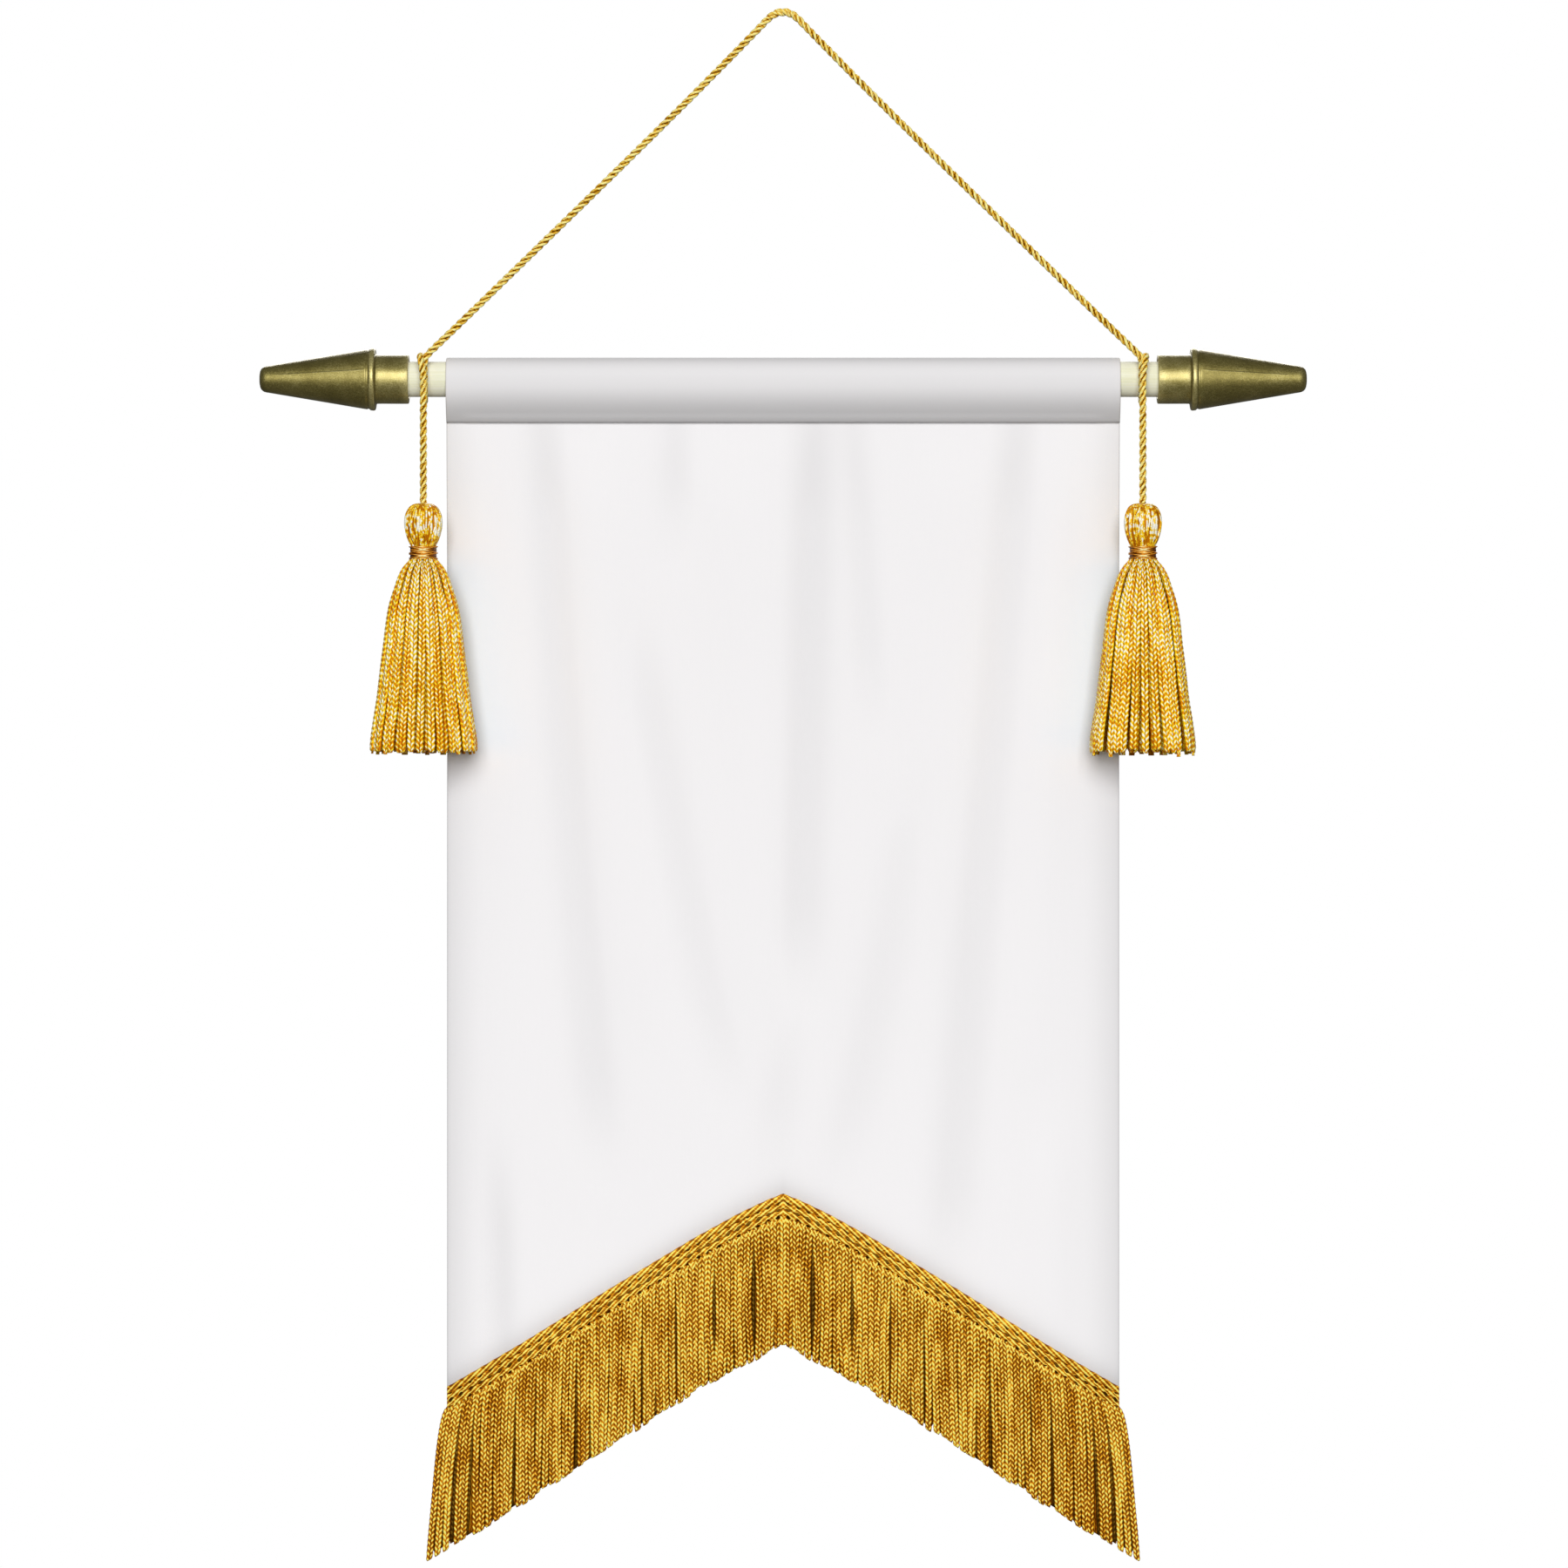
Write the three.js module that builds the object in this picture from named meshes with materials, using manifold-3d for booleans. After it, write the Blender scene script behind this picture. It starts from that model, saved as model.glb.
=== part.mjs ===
// Podium banner: a white cloth with a rod pocket and a notched hem, a wood dowel with two cone end
// caps, a twisted gold cord that hangs it, a tassel on each end of the cord, and gold fringe.
// Millimetres, +Z up, the face looks along -Y. The origin is the underside of the cord's top bend,
// where a hook takes the banner. y = 0 is the plane of the dowel's axis.
import * as THREE from 'three';
import { mergeVertices } from 'three/addons/utils/BufferGeometryUtils.js';
import Module from 'manifold-3d';

const wasm = await Module();
wasm.setup();

// Driving sizes
const GAP = 0.3; // between pieces that touch
const SIDES = { left: -1, right: 1 };

const ROD_RADIUS = 8;
const ROD_HALF_LENGTH = 184.5;
const ROD_Z = -164.7;

const CLOTH_HALF_WIDTH = 152.5;
const CLOTH_THICKNESS = 1.5;
const STITCH_Z = -180.3; // the pocket's stitching
const SEAM_Z = -184.3; // lower edge of the pocket's flap, on the front
const POCKET_RADIUS = ROD_RADIUS + GAP;
const POCKET_TANGENT = Math.PI / 2 - Math.acos(POCKET_RADIUS / (ROD_Z - STITCH_Z));
const HEM_SLOPE = Math.tan(THREE.MathUtils.degToRad(30));
const NOTCH_Z = -542.7; // the cloth's edge at the top of the notch
const CLOTH_COLUMNS = 42;

const CAP_FACE_X = 169.5; // open face of a cap's ferrule
const FERRULE_RADIUS = 11.1;
const CAP_RIM_RADIUS = 14.2;
const CAP_TIP_RADIUS = 5.8;

const CORD_RADIUS = 1.65;
const CORD_LAY = 11; // length in which a strand of the cord goes once round
const STEPS_PER_LAY = 6;

const TASSEL_X = 162.2;
const TASSEL_Y = -13.6;
const TASSEL_TOP_Z = -220.8;
const NECK_RADIUS = 4;
const BAND_RADIUS = 6.25;
const NECK_TOP_Z = -240.2;
const NECK_FOOT_Z = -246;

const HEADING_RISE = 9.2; // how far the fringe's heading reaches above the cloth's edge
const HEADING_DROP = 4.2; // and below it
const HEADING_THICKNESS = 2;
const HEADING_GAP = 0.5;
const FRINGE_STRANDS = 103;
const FRINGE_TIP_Z = -602; // strand tips at the centre
const FRINGE_TIP_SLOPE = 0.605; // the tips drop more steeply than the hem
const FRINGE_FLARE = 7.6; // how far the outermost tips lean out
const STRAND_WIDTH = 2.2;
const STRAND_DEPTH = 1.5;

// Folds of the cloth. x and z of a fold's top and foot, bow of its line to the side at mid length,
// half width, and depth: a trough goes back and has a positive depth, a ridge a negative one.
const FOLDS = [
  { topX: -106, topZ: -184, footX: -82, footZ: -505, bow: -3, width: 9, depth: 3.4 },
  { topX: -90, topZ: -184, footX: -66, footZ: -470, bow: -3, width: 11, depth: -2.2 },
  { topX: -49, topZ: -184, footX: -49, footZ: -236, bow: 0, width: 8, depth: 2.2 },
  { topX: -67, topZ: -290, footX: -31, footZ: -486, bow: 2, width: 10, depth: 1.8 },
  { topX: -22, topZ: -230, footX: -12, footZ: -470, bow: 3, width: 15, depth: -2 },
  { topX: 13.8, topZ: -184, footX: 7, footZ: -436, bow: 1, width: 9.5, depth: 3.6 },
  { topX: 42, topZ: -184, footX: 43, footZ: -312, bow: 0, width: 7, depth: 2 },
  { topX: 59, topZ: -350, footX: 23, footZ: -525, bow: 3, width: 11, depth: 1.8 },
  { topX: 74, topZ: -190, footX: 66, footZ: -430, bow: 2, width: 15, depth: -1.8 },
  { topX: 102.5, topZ: -184, footX: 83, footZ: -560, bow: -3, width: 9, depth: 3 },
  { topX: 121, topZ: -190, footX: 104, footZ: -520, bow: 0, width: 10, depth: -1.8 },
  { topX: -1, topZ: -455, footX: -8, footZ: -530, bow: 0, width: 9, depth: 1.8 },
  { topX: -129, topZ: -520, footX: -129, footZ: -625, bow: 0, width: 9, depth: 2.4 },
  { topX: 118, topZ: -500, footX: 121, footZ: -615, bow: 0, width: 11, depth: -1.8 },
];
const FOLD_FADE = 34; // length over which a fold's end dies out
const SEAM_FADE = 12; // the pocket's seam holds the cloth flat above this depth
// The cloth's side edges curl back.
const CURL_START_X = 116;
const CURL_FADE = 70;
const CURL_DEPTH = 6.5;

// How the cord goes round the dowel, from its hidden inner strand under the dowel, up behind it,
// over the top and down in front of itself. angle runs from the front downwards, radius is the
// distance from the dowel's axis, and shift is how far the strand moves towards the cap.
const CORD_TURN = [
  { angle: 0, radius: 9.95, shift: 0 },
  { angle: 23, radius: 9.95, shift: 0.1 },
  { angle: 46, radius: 9.95, shift: 0.3 },
  { angle: 69, radius: 9.95, shift: 0.6 },
  { angle: 92, radius: 9.95, shift: 1 },
  { angle: 115, radius: 9.95, shift: 1.4 },
  { angle: 138, radius: 9.95, shift: 1.8 },
  { angle: 161, radius: 9.95, shift: 2.2 },
  { angle: 184, radius: 9.95, shift: 2.6 },
  { angle: 207, radius: 9.95, shift: 3 },
  { angle: 230, radius: 9.95, shift: 3.4 },
  { angle: 253, radius: 10, shift: 3.8 },
  { angle: 272, radius: 10.15, shift: 4.1 },
  { angle: 290, radius: 10.6, shift: 4.3 },
  { angle: 305, radius: 11.3, shift: 4.35 },
  { angle: 318, radius: 12.1, shift: 4.1 },
  { angle: 330, radius: 12.9, shift: 3.5 },
  { angle: 341, radius: 13.45, shift: 2.7 },
  { angle: 352, radius: 13.65, shift: 1.85 },
];
const CORD_TURN_X = 162;
// The hanging length below the turn, and the leg from the dowel up to the top bend.
const CORD_HANG = [
  [163.1, -13.65, -167],
  [162.55, -13.6, -173],
  [162.25, -13.6, -181],
  [TASSEL_X, TASSEL_Y, -194],
  [TASSEL_X, TASSEL_Y, -208],
  [TASSEL_X, TASSEL_Y, TASSEL_TOP_Z + GAP],
];
const CORD_LEG = [
  [162, -9.95, -159.1],
  [161.8, -9.94, -157.3],
  [161.3, -9.92, -155.65],
  [160.5, -9.87, -154.15],
  [159.4, -9.8, -152.8],
  [148, -9.06, -141.5],
  [112, -6.77, -105.8],
  [76, -4.48, -70.1],
  [40, -2.19, -34.35],
  [14, -0.5, -8.55],
  [9.3, -0.2, -3.85],
  [6.3, -0.05, -1],
  [3.3, 0, 1],
];
const CORD_TOP = [0, 0, CORD_RADIUS];

const MATERIALS = {
  cloth: { color: 0xf0eff0, roughness: 0.9, metalness: 0 },
  wood: { color: 0xe3e1c6, roughness: 0.6, metalness: 0 },
  cap: { color: 0x8f7f36, roughness: 0.35, metalness: 0.8 },
  cord: { color: 0xd99a1f, roughness: 0.5, metalness: 0.1 },
  tassel: { color: 0xeeb01e, roughness: 0.5, metalness: 0.1 },
  band: { color: 0xb9741c, roughness: 0.55, metalness: 0.1 },
  fringe: { color: 0xd0921c, roughness: 0.5, metalness: 0.1 },
};

function piece(name, geometry, finish) {
  const mesh = new THREE.Mesh(geometry, new THREE.MeshStandardMaterial(MATERIALS[finish]));
  mesh.name = name;
  return mesh;
}

function toSolid(geometry) {
  const bare = geometry.clone();
  bare.deleteAttribute('normal');
  bare.deleteAttribute('uv');
  const merged = mergeVertices(bare, 1e-3);
  return new wasm.Manifold(new wasm.Mesh({
    numProp: 3,
    vertProperties: new Float32Array(merged.attributes.position.array),
    triVerts: new Uint32Array(merged.index.array),
  }));
}

function toGeometry(solid) {
  const mesh = solid.getMesh();
  const geometry = new THREE.BufferGeometry();
  geometry.setAttribute('position', new THREE.BufferAttribute(mesh.vertProperties, mesh.numProp));
  geometry.setIndex(new THREE.BufferAttribute(mesh.triVerts, 1));
  geometry.computeVertexNormals();
  return geometry;
}

// A body and the strands whose roots are sunk in it, joined to one solid
function join(body, strands) {
  return toGeometry(strands.reduce((solid, strand) => solid.add(toSolid(strand)), toSolid(body)));
}

// Moves each point of a geometry by a function of its old place
function reshape(geometry, move) {
  const position = geometry.attributes.position;
  const point = new THREE.Vector3();
  for (let i = 0; i < position.count; i += 1) {
    move(point.fromBufferAttribute(position, i));
    position.setXYZ(i, point.x, point.y, point.z);
  }
  geometry.computeVertexNormals();
  return geometry;
}

// Turns a lathe's axis from +Y to +Z
function turned(profile, segments) {
  const points = profile.map(([radius, height]) => new THREE.Vector2(radius, height));
  return new THREE.LatheGeometry(points, segments).rotateX(Math.PI / 2);
}

function smooth(t) {
  const x = THREE.MathUtils.clamp(t, 0, 1);
  return x * x * (3 - 2 * x);
}

// Cloth

function hemZ(x) {
  return NOTCH_Z - Math.abs(x) * HEM_SLOPE;
}

function foldShift(fold, x, z) {
  const t = (fold.topZ - z) / (fold.topZ - fold.footZ);
  const line = THREE.MathUtils.lerp(fold.topX, fold.footX, t) + fold.bow * 4 * t * (1 - t);
  const startFade = fold.topZ > SEAM_Z - FOLD_FADE ? 1 : smooth((fold.topZ - z) / FOLD_FADE);
  const endFade = smooth((z - fold.footZ) / FOLD_FADE);
  return fold.depth * startFade * endFade * Math.exp(-(((x - line) / fold.width) ** 2));
}

// How far back the panel's front face lies at a place below the pocket
function drape(x, z) {
  const below = SEAM_Z - z;
  const folds = FOLDS.reduce((sum, fold) => sum + foldShift(fold, x, z), 0);
  const curl = Math.max(0, (Math.abs(x) - CURL_START_X) / (CLOTH_HALF_WIDTH - CURL_START_X)) ** 2;
  return folds * smooth(below / SEAM_FADE) + CURL_DEPTH * curl * smooth(below / CURL_FADE);
}

// The cloth's section from front to back: the flap on the front, up round the dowel, and the panel
function clothSection() {
  const rows = [0.03, 0.08, 0.16, 0.27, 0.4, 0.55, 0.7, 0.85, 1];
  const drop = SEAM_Z - hemZ(CLOTH_HALF_WIDTH);
  const outer = POCKET_RADIUS + CLOTH_THICKNESS;
  const shape = new THREE.Shape();
  shape.moveTo(-CLOTH_THICKNESS, SEAM_Z);
  shape.lineTo(-CLOTH_THICKNESS, STITCH_Z);
  shape.absarc(0, ROD_Z, outer, Math.PI + POCKET_TANGENT, -POCKET_TANGENT, true);
  shape.lineTo(CLOTH_THICKNESS, STITCH_Z);
  shape.lineTo(CLOTH_THICKNESS, SEAM_Z);
  rows.forEach((row) => shape.lineTo(CLOTH_THICKNESS, SEAM_Z - row * drop));
  rows.reverse().forEach((row) => shape.lineTo(0, SEAM_Z - row * drop));
  shape.lineTo(0, SEAM_Z);
  return shape;
}

// The hollow of the rod pocket, drawn down to its stitching
function pocket() {
  const shape = new THREE.Shape();
  shape.absarc(0, ROD_Z, POCKET_RADIUS, -POCKET_TANGENT, Math.PI + POCKET_TANGENT, false);
  shape.lineTo(0, STITCH_Z + GAP);
  const length = 2 * CLOTH_HALF_WIDTH + 10;
  const settings = { depth: length, steps: 1, curveSegments: 8, bevelEnabled: false };
  const geometry = new THREE.ExtrudeGeometry(shape, settings);
  return reshape(geometry, (point) => point.set(point.z - length / 2, point.x, point.y));
}

function cloth() {
  const drop = SEAM_Z - hemZ(CLOTH_HALF_WIDTH);
  const geometry = new THREE.ExtrudeGeometry(clothSection(), {
    depth: 2 * CLOTH_HALF_WIDTH,
    steps: CLOTH_COLUMNS,
    curveSegments: 5,
    bevelEnabled: false,
  });
  const sheet = reshape(geometry, (point) => {
    const x = point.z - CLOTH_HALF_WIDTH;
    const row = Math.max(0, (SEAM_Z - point.y) / drop);
    const z = row > 0 ? SEAM_Z - row * (SEAM_Z - hemZ(x)) : point.y;
    point.set(x, point.x + (row > 0 ? drape(x, z) : 0), z);
  });
  return toGeometry(toSolid(sheet).subtract(toSolid(pocket())));
}

// Dowel and caps

function dowel() {
  return new THREE.CylinderGeometry(ROD_RADIUS, ROD_RADIUS, 2 * ROD_HALF_LENGTH, 36)
    .rotateZ(Math.PI / 2);
}

// A cap along +Z: a ferrule with a blind bore, a rim, and a long cone with a rounded end
function cap() {
  const bore = ROD_RADIUS + GAP;
  const boreDepth = ROD_HALF_LENGTH + GAP - CAP_FACE_X;
  return turned([
    [0, boreDepth], [bore, boreDepth], [bore, 0], [10.7, 0], [FERRULE_RADIUS, 0.4],
    [FERRULE_RADIUS, 15], [13.6, 15], [CAP_RIM_RADIUS, 15.6], [13.9, 17.6], [13.4, 18], [13.6, 18.6],
    [CAP_TIP_RADIUS + 0.25, 64], [CAP_TIP_RADIUS, 65.4], [4.8, 66.8], [3, 67.5], [0, 67.7],
  ], 24);
}

// Cord

class TwistedPath extends THREE.CatmullRomCurve3 {
  computeFrenetFrames(steps, closed) {
    const frames = super.computeFrenetFrames(steps, closed);
    const turnPerStep = (2 * Math.PI) / STEPS_PER_LAY;
    frames.tangents.forEach((tangent, i) => {
      frames.normals[i].applyAxisAngle(tangent, i * turnPerStep);
      frames.binormals[i].applyAxisAngle(tangent, i * turnPerStep);
    });
    return frames;
  }
}

// One side's route, from the tassel up to the top bend
function cordSide(side) {
  const round = CORD_TURN.map(({ angle, radius, shift }) => {
    const turn = THREE.MathUtils.degToRad(angle);
    return [CORD_TURN_X + shift, -radius * Math.cos(turn), ROD_Z - radius * Math.sin(turn)];
  });
  return [...CORD_HANG.toReversed(), ...round.toReversed(), ...CORD_LEG]
    .map(([x, y, z]) => new THREE.Vector3(side * x, y, z));
}

function cordPath() {
  const points = [
    ...cordSide(SIDES.left),
    new THREE.Vector3(...CORD_TOP),
    ...cordSide(SIDES.right).toReversed(),
  ];
  const path = new TwistedPath(points);
  path.arcLengthDivisions = 4000;
  return path;
}

// The cord's section: three strands laid together, as crests and valleys
function cord() {
  const path = cordPath();
  const crests = 3;
  const valley = 0.68 * CORD_RADIUS;
  const shape = new THREE.Shape(Array.from({ length: 2 * crests }, (_, i) => {
    const angle = (i * Math.PI) / crests;
    const radius = i % 2 ? valley : CORD_RADIUS;
    return new THREE.Vector2(radius * Math.cos(angle), radius * Math.sin(angle));
  }));
  const steps = Math.round((path.getLength() / CORD_LAY) * STEPS_PER_LAY);
  return new THREE.ExtrudeGeometry(shape, { steps, extrudePath: path, bevelEnabled: false });
}

// Strands

// A four-sided strand through levels from its root down: each has a centre, a vector across it and
// one through it
function strand(levels) {
  const last = levels.length - 1;
  return reshape(new THREE.BoxGeometry(1, 1, 1, 1, 1, last), (point) => {
    const level = levels[Math.round((0.5 - point.z) * last)];
    const { x, y } = point;
    point.copy(level.centre).addScaledVector(level.across, x).addScaledVector(level.through, y);
  });
}

// Tassels, about the line of the cord that carries them

// Rings of strands: how many, turn of the ring, and its radius at each height
const SKIRT_RINGS = [
  { count: 32, phase: 0, heights: [-249.5, -267, -333], radii: [5.2, 14.4, 23.2], depth: 1.9 },
  { count: 12, phase: 0.5, heights: [-252, -332], radii: [3.4, 13.5], depth: 2.4 },
];
const SKIRT_UNEVEN = 1.5; // how far strand ends lie above and below their height
const SKIRT_FRONT = 0.85; // the skirt is flatter than round, most so on the side of the cloth
const SKIRT_BACK = 0.62;
const STRAND_FILL = 0.78; // share of its room that a strand takes

function skirtPoint(angle, radius, level) {
  const flat = Math.sin(angle) < 0 ? SKIRT_FRONT : SKIRT_BACK;
  const squash = level === 0 ? 1 : flat;
  return new THREE.Vector3(radius * Math.cos(angle), radius * Math.sin(angle) * squash, 0);
}

function skirtStrand(ring, index) {
  const pitch = (2 * Math.PI) / ring.count;
  const angle = (index + ring.phase) * pitch;
  return strand(ring.heights.map((z, level) => {
    const radius = ring.radii[level];
    const centre = skirtPoint(angle, radius, level);
    const across = skirtPoint(angle + pitch / 2, radius, level)
      .sub(skirtPoint(angle - pitch / 2, radius, level)).multiplyScalar(STRAND_FILL);
    const through = centre.clone().normalize().multiplyScalar(-ring.depth);
    const isTip = level === ring.heights.length - 1;
    centre.z = z + (isTip ? SKIRT_UNEVEN * Math.sin(index * 2.4) : 0);
    return { centre, across, through };
  }));
}

function tassel() {
  const head = turned([
    [0, TASSEL_TOP_Z], [2, TASSEL_TOP_Z], [5.4, -222.6], [7.8, -226], [8.7, -230.4], [8, -235],
    [6, -238.8], [NECK_RADIUS, NECK_TOP_Z], [NECK_RADIUS, NECK_FOOT_Z], [6.9, -246.4],
    [7.4, -249.5], [5.6, -254], [0, -255],
  ].reverse(), 18);
  const skirt = SKIRT_RINGS.flatMap((ring) => (
    Array.from({ length: ring.count }, (_, index) => skirtStrand(ring, index))
  ));
  return join(head, skirt);
}

// The thread wound round a tassel's neck, in three turns
function band() {
  const turns = 3;
  const inner = NECK_RADIUS + GAP;
  const foot = NECK_FOOT_Z + GAP;
  const height = NECK_TOP_Z - GAP - foot;
  const profile = [[inner, foot]];
  for (let i = 0; i < turns; i += 1) {
    profile.push([BAND_RADIUS - 0.6, foot + (height * i) / turns]);
    profile.push([BAND_RADIUS, foot + (height * (i + 0.5)) / turns]);
  }
  profile.push([BAND_RADIUS - 0.6, foot + height], [inner, foot + height], [inner, foot]);
  return turned(profile, 12);
}

// Fringe

function headingY(x) {
  return drape(x, hemZ(x)) - HEADING_GAP;
}

// The woven heading: a strip with two raised rows, bent along the hem and over the cloth's folds
function heading() {
  const top = HEADING_RISE;
  const foot = -HEADING_DROP;
  const height = top - foot;
  const front = -HEADING_THICKNESS;
  const groove = front + 0.7;
  const section = new THREE.Shape([
    [0, foot], [0, top], [front, top - 0.6], [groove, foot + height / 2], [front, foot + 0.6],
  ].map(([x, y]) => new THREE.Vector2(x, y)));
  const geometry = new THREE.ExtrudeGeometry(section, {
    depth: 2 * CLOTH_HALF_WIDTH, steps: CLOTH_COLUMNS, bevelEnabled: false,
  });
  return reshape(geometry, (point) => {
    const x = point.z - CLOTH_HALF_WIDTH;
    point.set(x, headingY(x) + point.x, hemZ(x) + point.y);
  });
}

function fringeStrand(index) {
  const pitch = (2 * CLOTH_HALF_WIDTH - STRAND_WIDTH - 1) / (FRINGE_STRANDS - 1);
  const x = (index - (FRINGE_STRANDS - 1) / 2) * pitch;
  const reach = x / CLOTH_HALF_WIDTH;
  const tipX = x + FRINGE_FLARE * reach ** 5;
  const tipZ = FRINGE_TIP_Z - FRINGE_TIP_SLOPE * Math.abs(tipX) + 0.9 * Math.sin(index * 1.9);
  const y = headingY(x) - HEADING_THICKNESS / 2;
  const sway = index % 2 ? 0.45 : -0.45;
  const levels = [[x, y, hemZ(x) - HEADING_DROP + 2.4], [tipX, y + sway, tipZ]];
  return strand(levels.map(([cx, cy, cz]) => ({
    centre: new THREE.Vector3(cx, cy, cz),
    across: new THREE.Vector3(STRAND_WIDTH, 0, 0),
    through: new THREE.Vector3(0, STRAND_DEPTH, 0),
  })));
}

function fringe() {
  return join(heading(), Array.from({ length: FRINGE_STRANDS }, (_, index) => fringeStrand(index)));
}

// The banner
const banner = new THREE.Group();
banner.add(piece('banner_cloth', cloth(), 'cloth'));
banner.add(piece('fringe', fringe(), 'fringe'));
banner.add(piece('hanger_cord', cord(), 'cord'));

const rod = new THREE.Group();
rod.position.set(0, 0, ROD_Z);
rod.add(piece('dowel', dowel(), 'wood'));
const capShape = cap();
const tasselShape = tassel();
const bandShape = band();
Object.entries(SIDES).forEach(([name, side]) => {
  const finial = piece(`finial_${name}`, capShape, 'cap');
  finial.rotation.y = (side * Math.PI) / 2;
  finial.position.x = side * CAP_FACE_X;
  rod.add(finial);

  const hanging = new THREE.Group();
  hanging.position.set(side * TASSEL_X, TASSEL_Y, 0);
  hanging.add(piece(`tassel_${name}`, tasselShape, 'tassel'));
  hanging.add(piece(`tassel_band_${name}`, bandShape, 'band'));
  banner.add(hanging);
});
banner.add(rod);

export default banner;
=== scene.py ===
import math
import bpy
import numpy as np
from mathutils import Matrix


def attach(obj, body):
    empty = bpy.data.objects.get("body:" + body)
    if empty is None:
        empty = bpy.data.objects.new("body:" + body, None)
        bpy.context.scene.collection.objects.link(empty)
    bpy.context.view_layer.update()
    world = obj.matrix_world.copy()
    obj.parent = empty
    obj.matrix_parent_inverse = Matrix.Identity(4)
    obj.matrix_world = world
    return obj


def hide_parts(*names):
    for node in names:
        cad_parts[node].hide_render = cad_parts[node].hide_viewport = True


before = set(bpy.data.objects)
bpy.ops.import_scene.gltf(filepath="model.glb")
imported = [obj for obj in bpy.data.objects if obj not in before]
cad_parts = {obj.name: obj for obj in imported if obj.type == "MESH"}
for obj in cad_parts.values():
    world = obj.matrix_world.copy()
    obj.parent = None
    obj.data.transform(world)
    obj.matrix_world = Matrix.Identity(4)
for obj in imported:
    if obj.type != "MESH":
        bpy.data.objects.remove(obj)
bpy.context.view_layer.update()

# Sizes in millimetres. The origin is the underside of the cord's top bend, and the front looks along -Y
MM = 0.001
PHOTO_SIDE = 710.23  # width of the photograph at the rod's plane
PHOTO_CENTRE = (0.39, -348.0)
CAMERA_DISTANCE = 3000
SENSOR_WIDTH = 36
FLOOR_Z = -1200
FLOOR_RADIUS = 2500
FLOOR_SIDES = 96
AMBIENT = 0.13  # how bright the surroundings light the banner

ROD_RADIUS = 8
ROD_HALF_LENGTH = 184.5
ROD_Z = -164.7
ROD_CHAMFER = 0.5
ROD_SIDES = 72
ROD_RINGS = 40
ROD_FIRST_RING = 0.7  # from its end
CAP_FACE_X = 169.5

CLOTH_HALF_WIDTH = 152.5
CLOTH_THICKNESS = 0.7  # one layer
HEM_THICKNESS = 1.4  # where the edge is turned
HEM_TURN = 9
HEM_STEP = 0.8  # over which a turned edge thins out to one layer
SLEEVE_RADIUS = 9.8
FLAP_FRONT = 1.5  # the flap's face before the panel's
STITCH_Z = -180.3
SEAM_Z = -184.3
NOTCH_Z = -542.7
HEM_SLOPE = math.tan(math.radians(30))

# Folds of the panel: where the line starts and ends, its bow, width and depth, plus to the back
FOLDS = [
    ((-108, -184), (-80, -540), -2, 9, 2.4),
    ((-88, -184), (-64, -480), -3, 13, -1.2),
    ((-48, -184), (-50, -262), 0, 8, 1.8),
    ((-69, -260), (-20, -510), -2, 9, 1.6),
    ((-22, -220), (-12, -480), 3, 16, -1.2),
    ((14.5, -184), (7, -462), 0, 9.5, 2.9),
    ((32, -184), (41, -340), 0, 6.5, 1.6),
    ((66, -330), (20, -550), 2, 10, 1.5),
    ((76, -190), (66, -440), 2, 16, -1.1),
    ((107, -184), (72, -590), 0, 10, 2.4),
    ((125, -190), (106, -520), 0, 12, -1.1),
    ((3, -440), (-6, -550), 0, 9, 1.4),
    ((-131, -500), (-129, -640), 0, 7, 2.2),
    ((118, -480), (121, -630), 0, 12, -1.2),
]
FOLD_FADE = 60
SEAM_FADE = 45
CURL_START_X = 116
CURL_FADE = 70
CURL_DEPTH = 6.5
THREAD_PITCH = 0.6
CLOTH_COLUMNS = 149
CLOTH_BORDER = 2.5  # its columns are closer together
EDGE_COLUMNS = (0, 0.12, 0.35, 0.8)  # from the side
FLAP_ROWS = 22
ROLL_ROWS = 34
LEAVE_ROWS = 7
PANEL_ROWS = 212
EVEN_ROWS_END = 0.985  # share of the panel's height
EDGE_ROWS = (0.99, 0.994, 0.997, 0.999, 1)

# Painted shade on the cloth's face: how strong it is, and how far it reaches, in the folds, at the sides
# and sleeve ends, and as painted shadow beside the heading and the tassels. The cool tint beside the
# tassels is painted against the warm light they reflect.
PAINTED_SHADE_STRENGTH = 0.09
FOLD_SHADE = 1 / 3
SIDE_SHADE = 1.3
SIDE_SHADE_X = 136
SLEEVE_END_SHADE = 1.4
SLEEVE_END_REACH = 3
HEADING_SHADE = 2.6
HEADING_SHADE_REACH = 6
TASSEL_SHADE = 0.8
TASSEL_SHADE_REACH = 5
TASSEL_COOL_REACH = 18
TASSEL_TONE_TOP_Z = -236
TASSEL_TONE_FOOT_Z = -340
TASSEL_TONE_FADE = 16

HEADING_RISE = 9.2
HEADING_DROP = 4.2
HEADING_GAP = 0.5
HEADING_DEPTH = 2
HEADING_ROWS = 4
HEADING_SIDES = 12
HEADING_COLUMNS = 581
TWIST_PITCH = 5.2
TWIST_LEAN = 0.75
BEAD_PITCH = 1.9
BEAD_LEAN = 0.35
SWIRL_PITCH = 9
BULGE_HEIGHT = 0.05
BULGE_DEPTH = 0.28
ROW_OVERLAP = 1.06
ROW_SHIFT = 0.37  # from one row's twist to the next
HOLE_PITCH = 4.5
HOLE_HALF = 0.8
HOLE_DEPTH = 0.55
TAPE_THICKNESS = 0.4
TAPE_INSET = 0.5
TAPE_PLACE = 0.45  # share of the heading's depth
HEADING_BOW = [(0, 0), (8, 1.4), (20, 2.6), (40, 3.2), (79, 2.3), (118, 0.6), (152.5, 0)]
FRINGE_STRANDS = 103
FRINGE_PITCH = 2.959
FRINGE_TIPS = [
    (0, -602.1), (20, -612.3), (39.5, -622.7), (79, -648.5), (118.4, -674.3), (142.5, -689.7), (165, -702),
]
FRINGE_FLARE = 9.3
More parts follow.
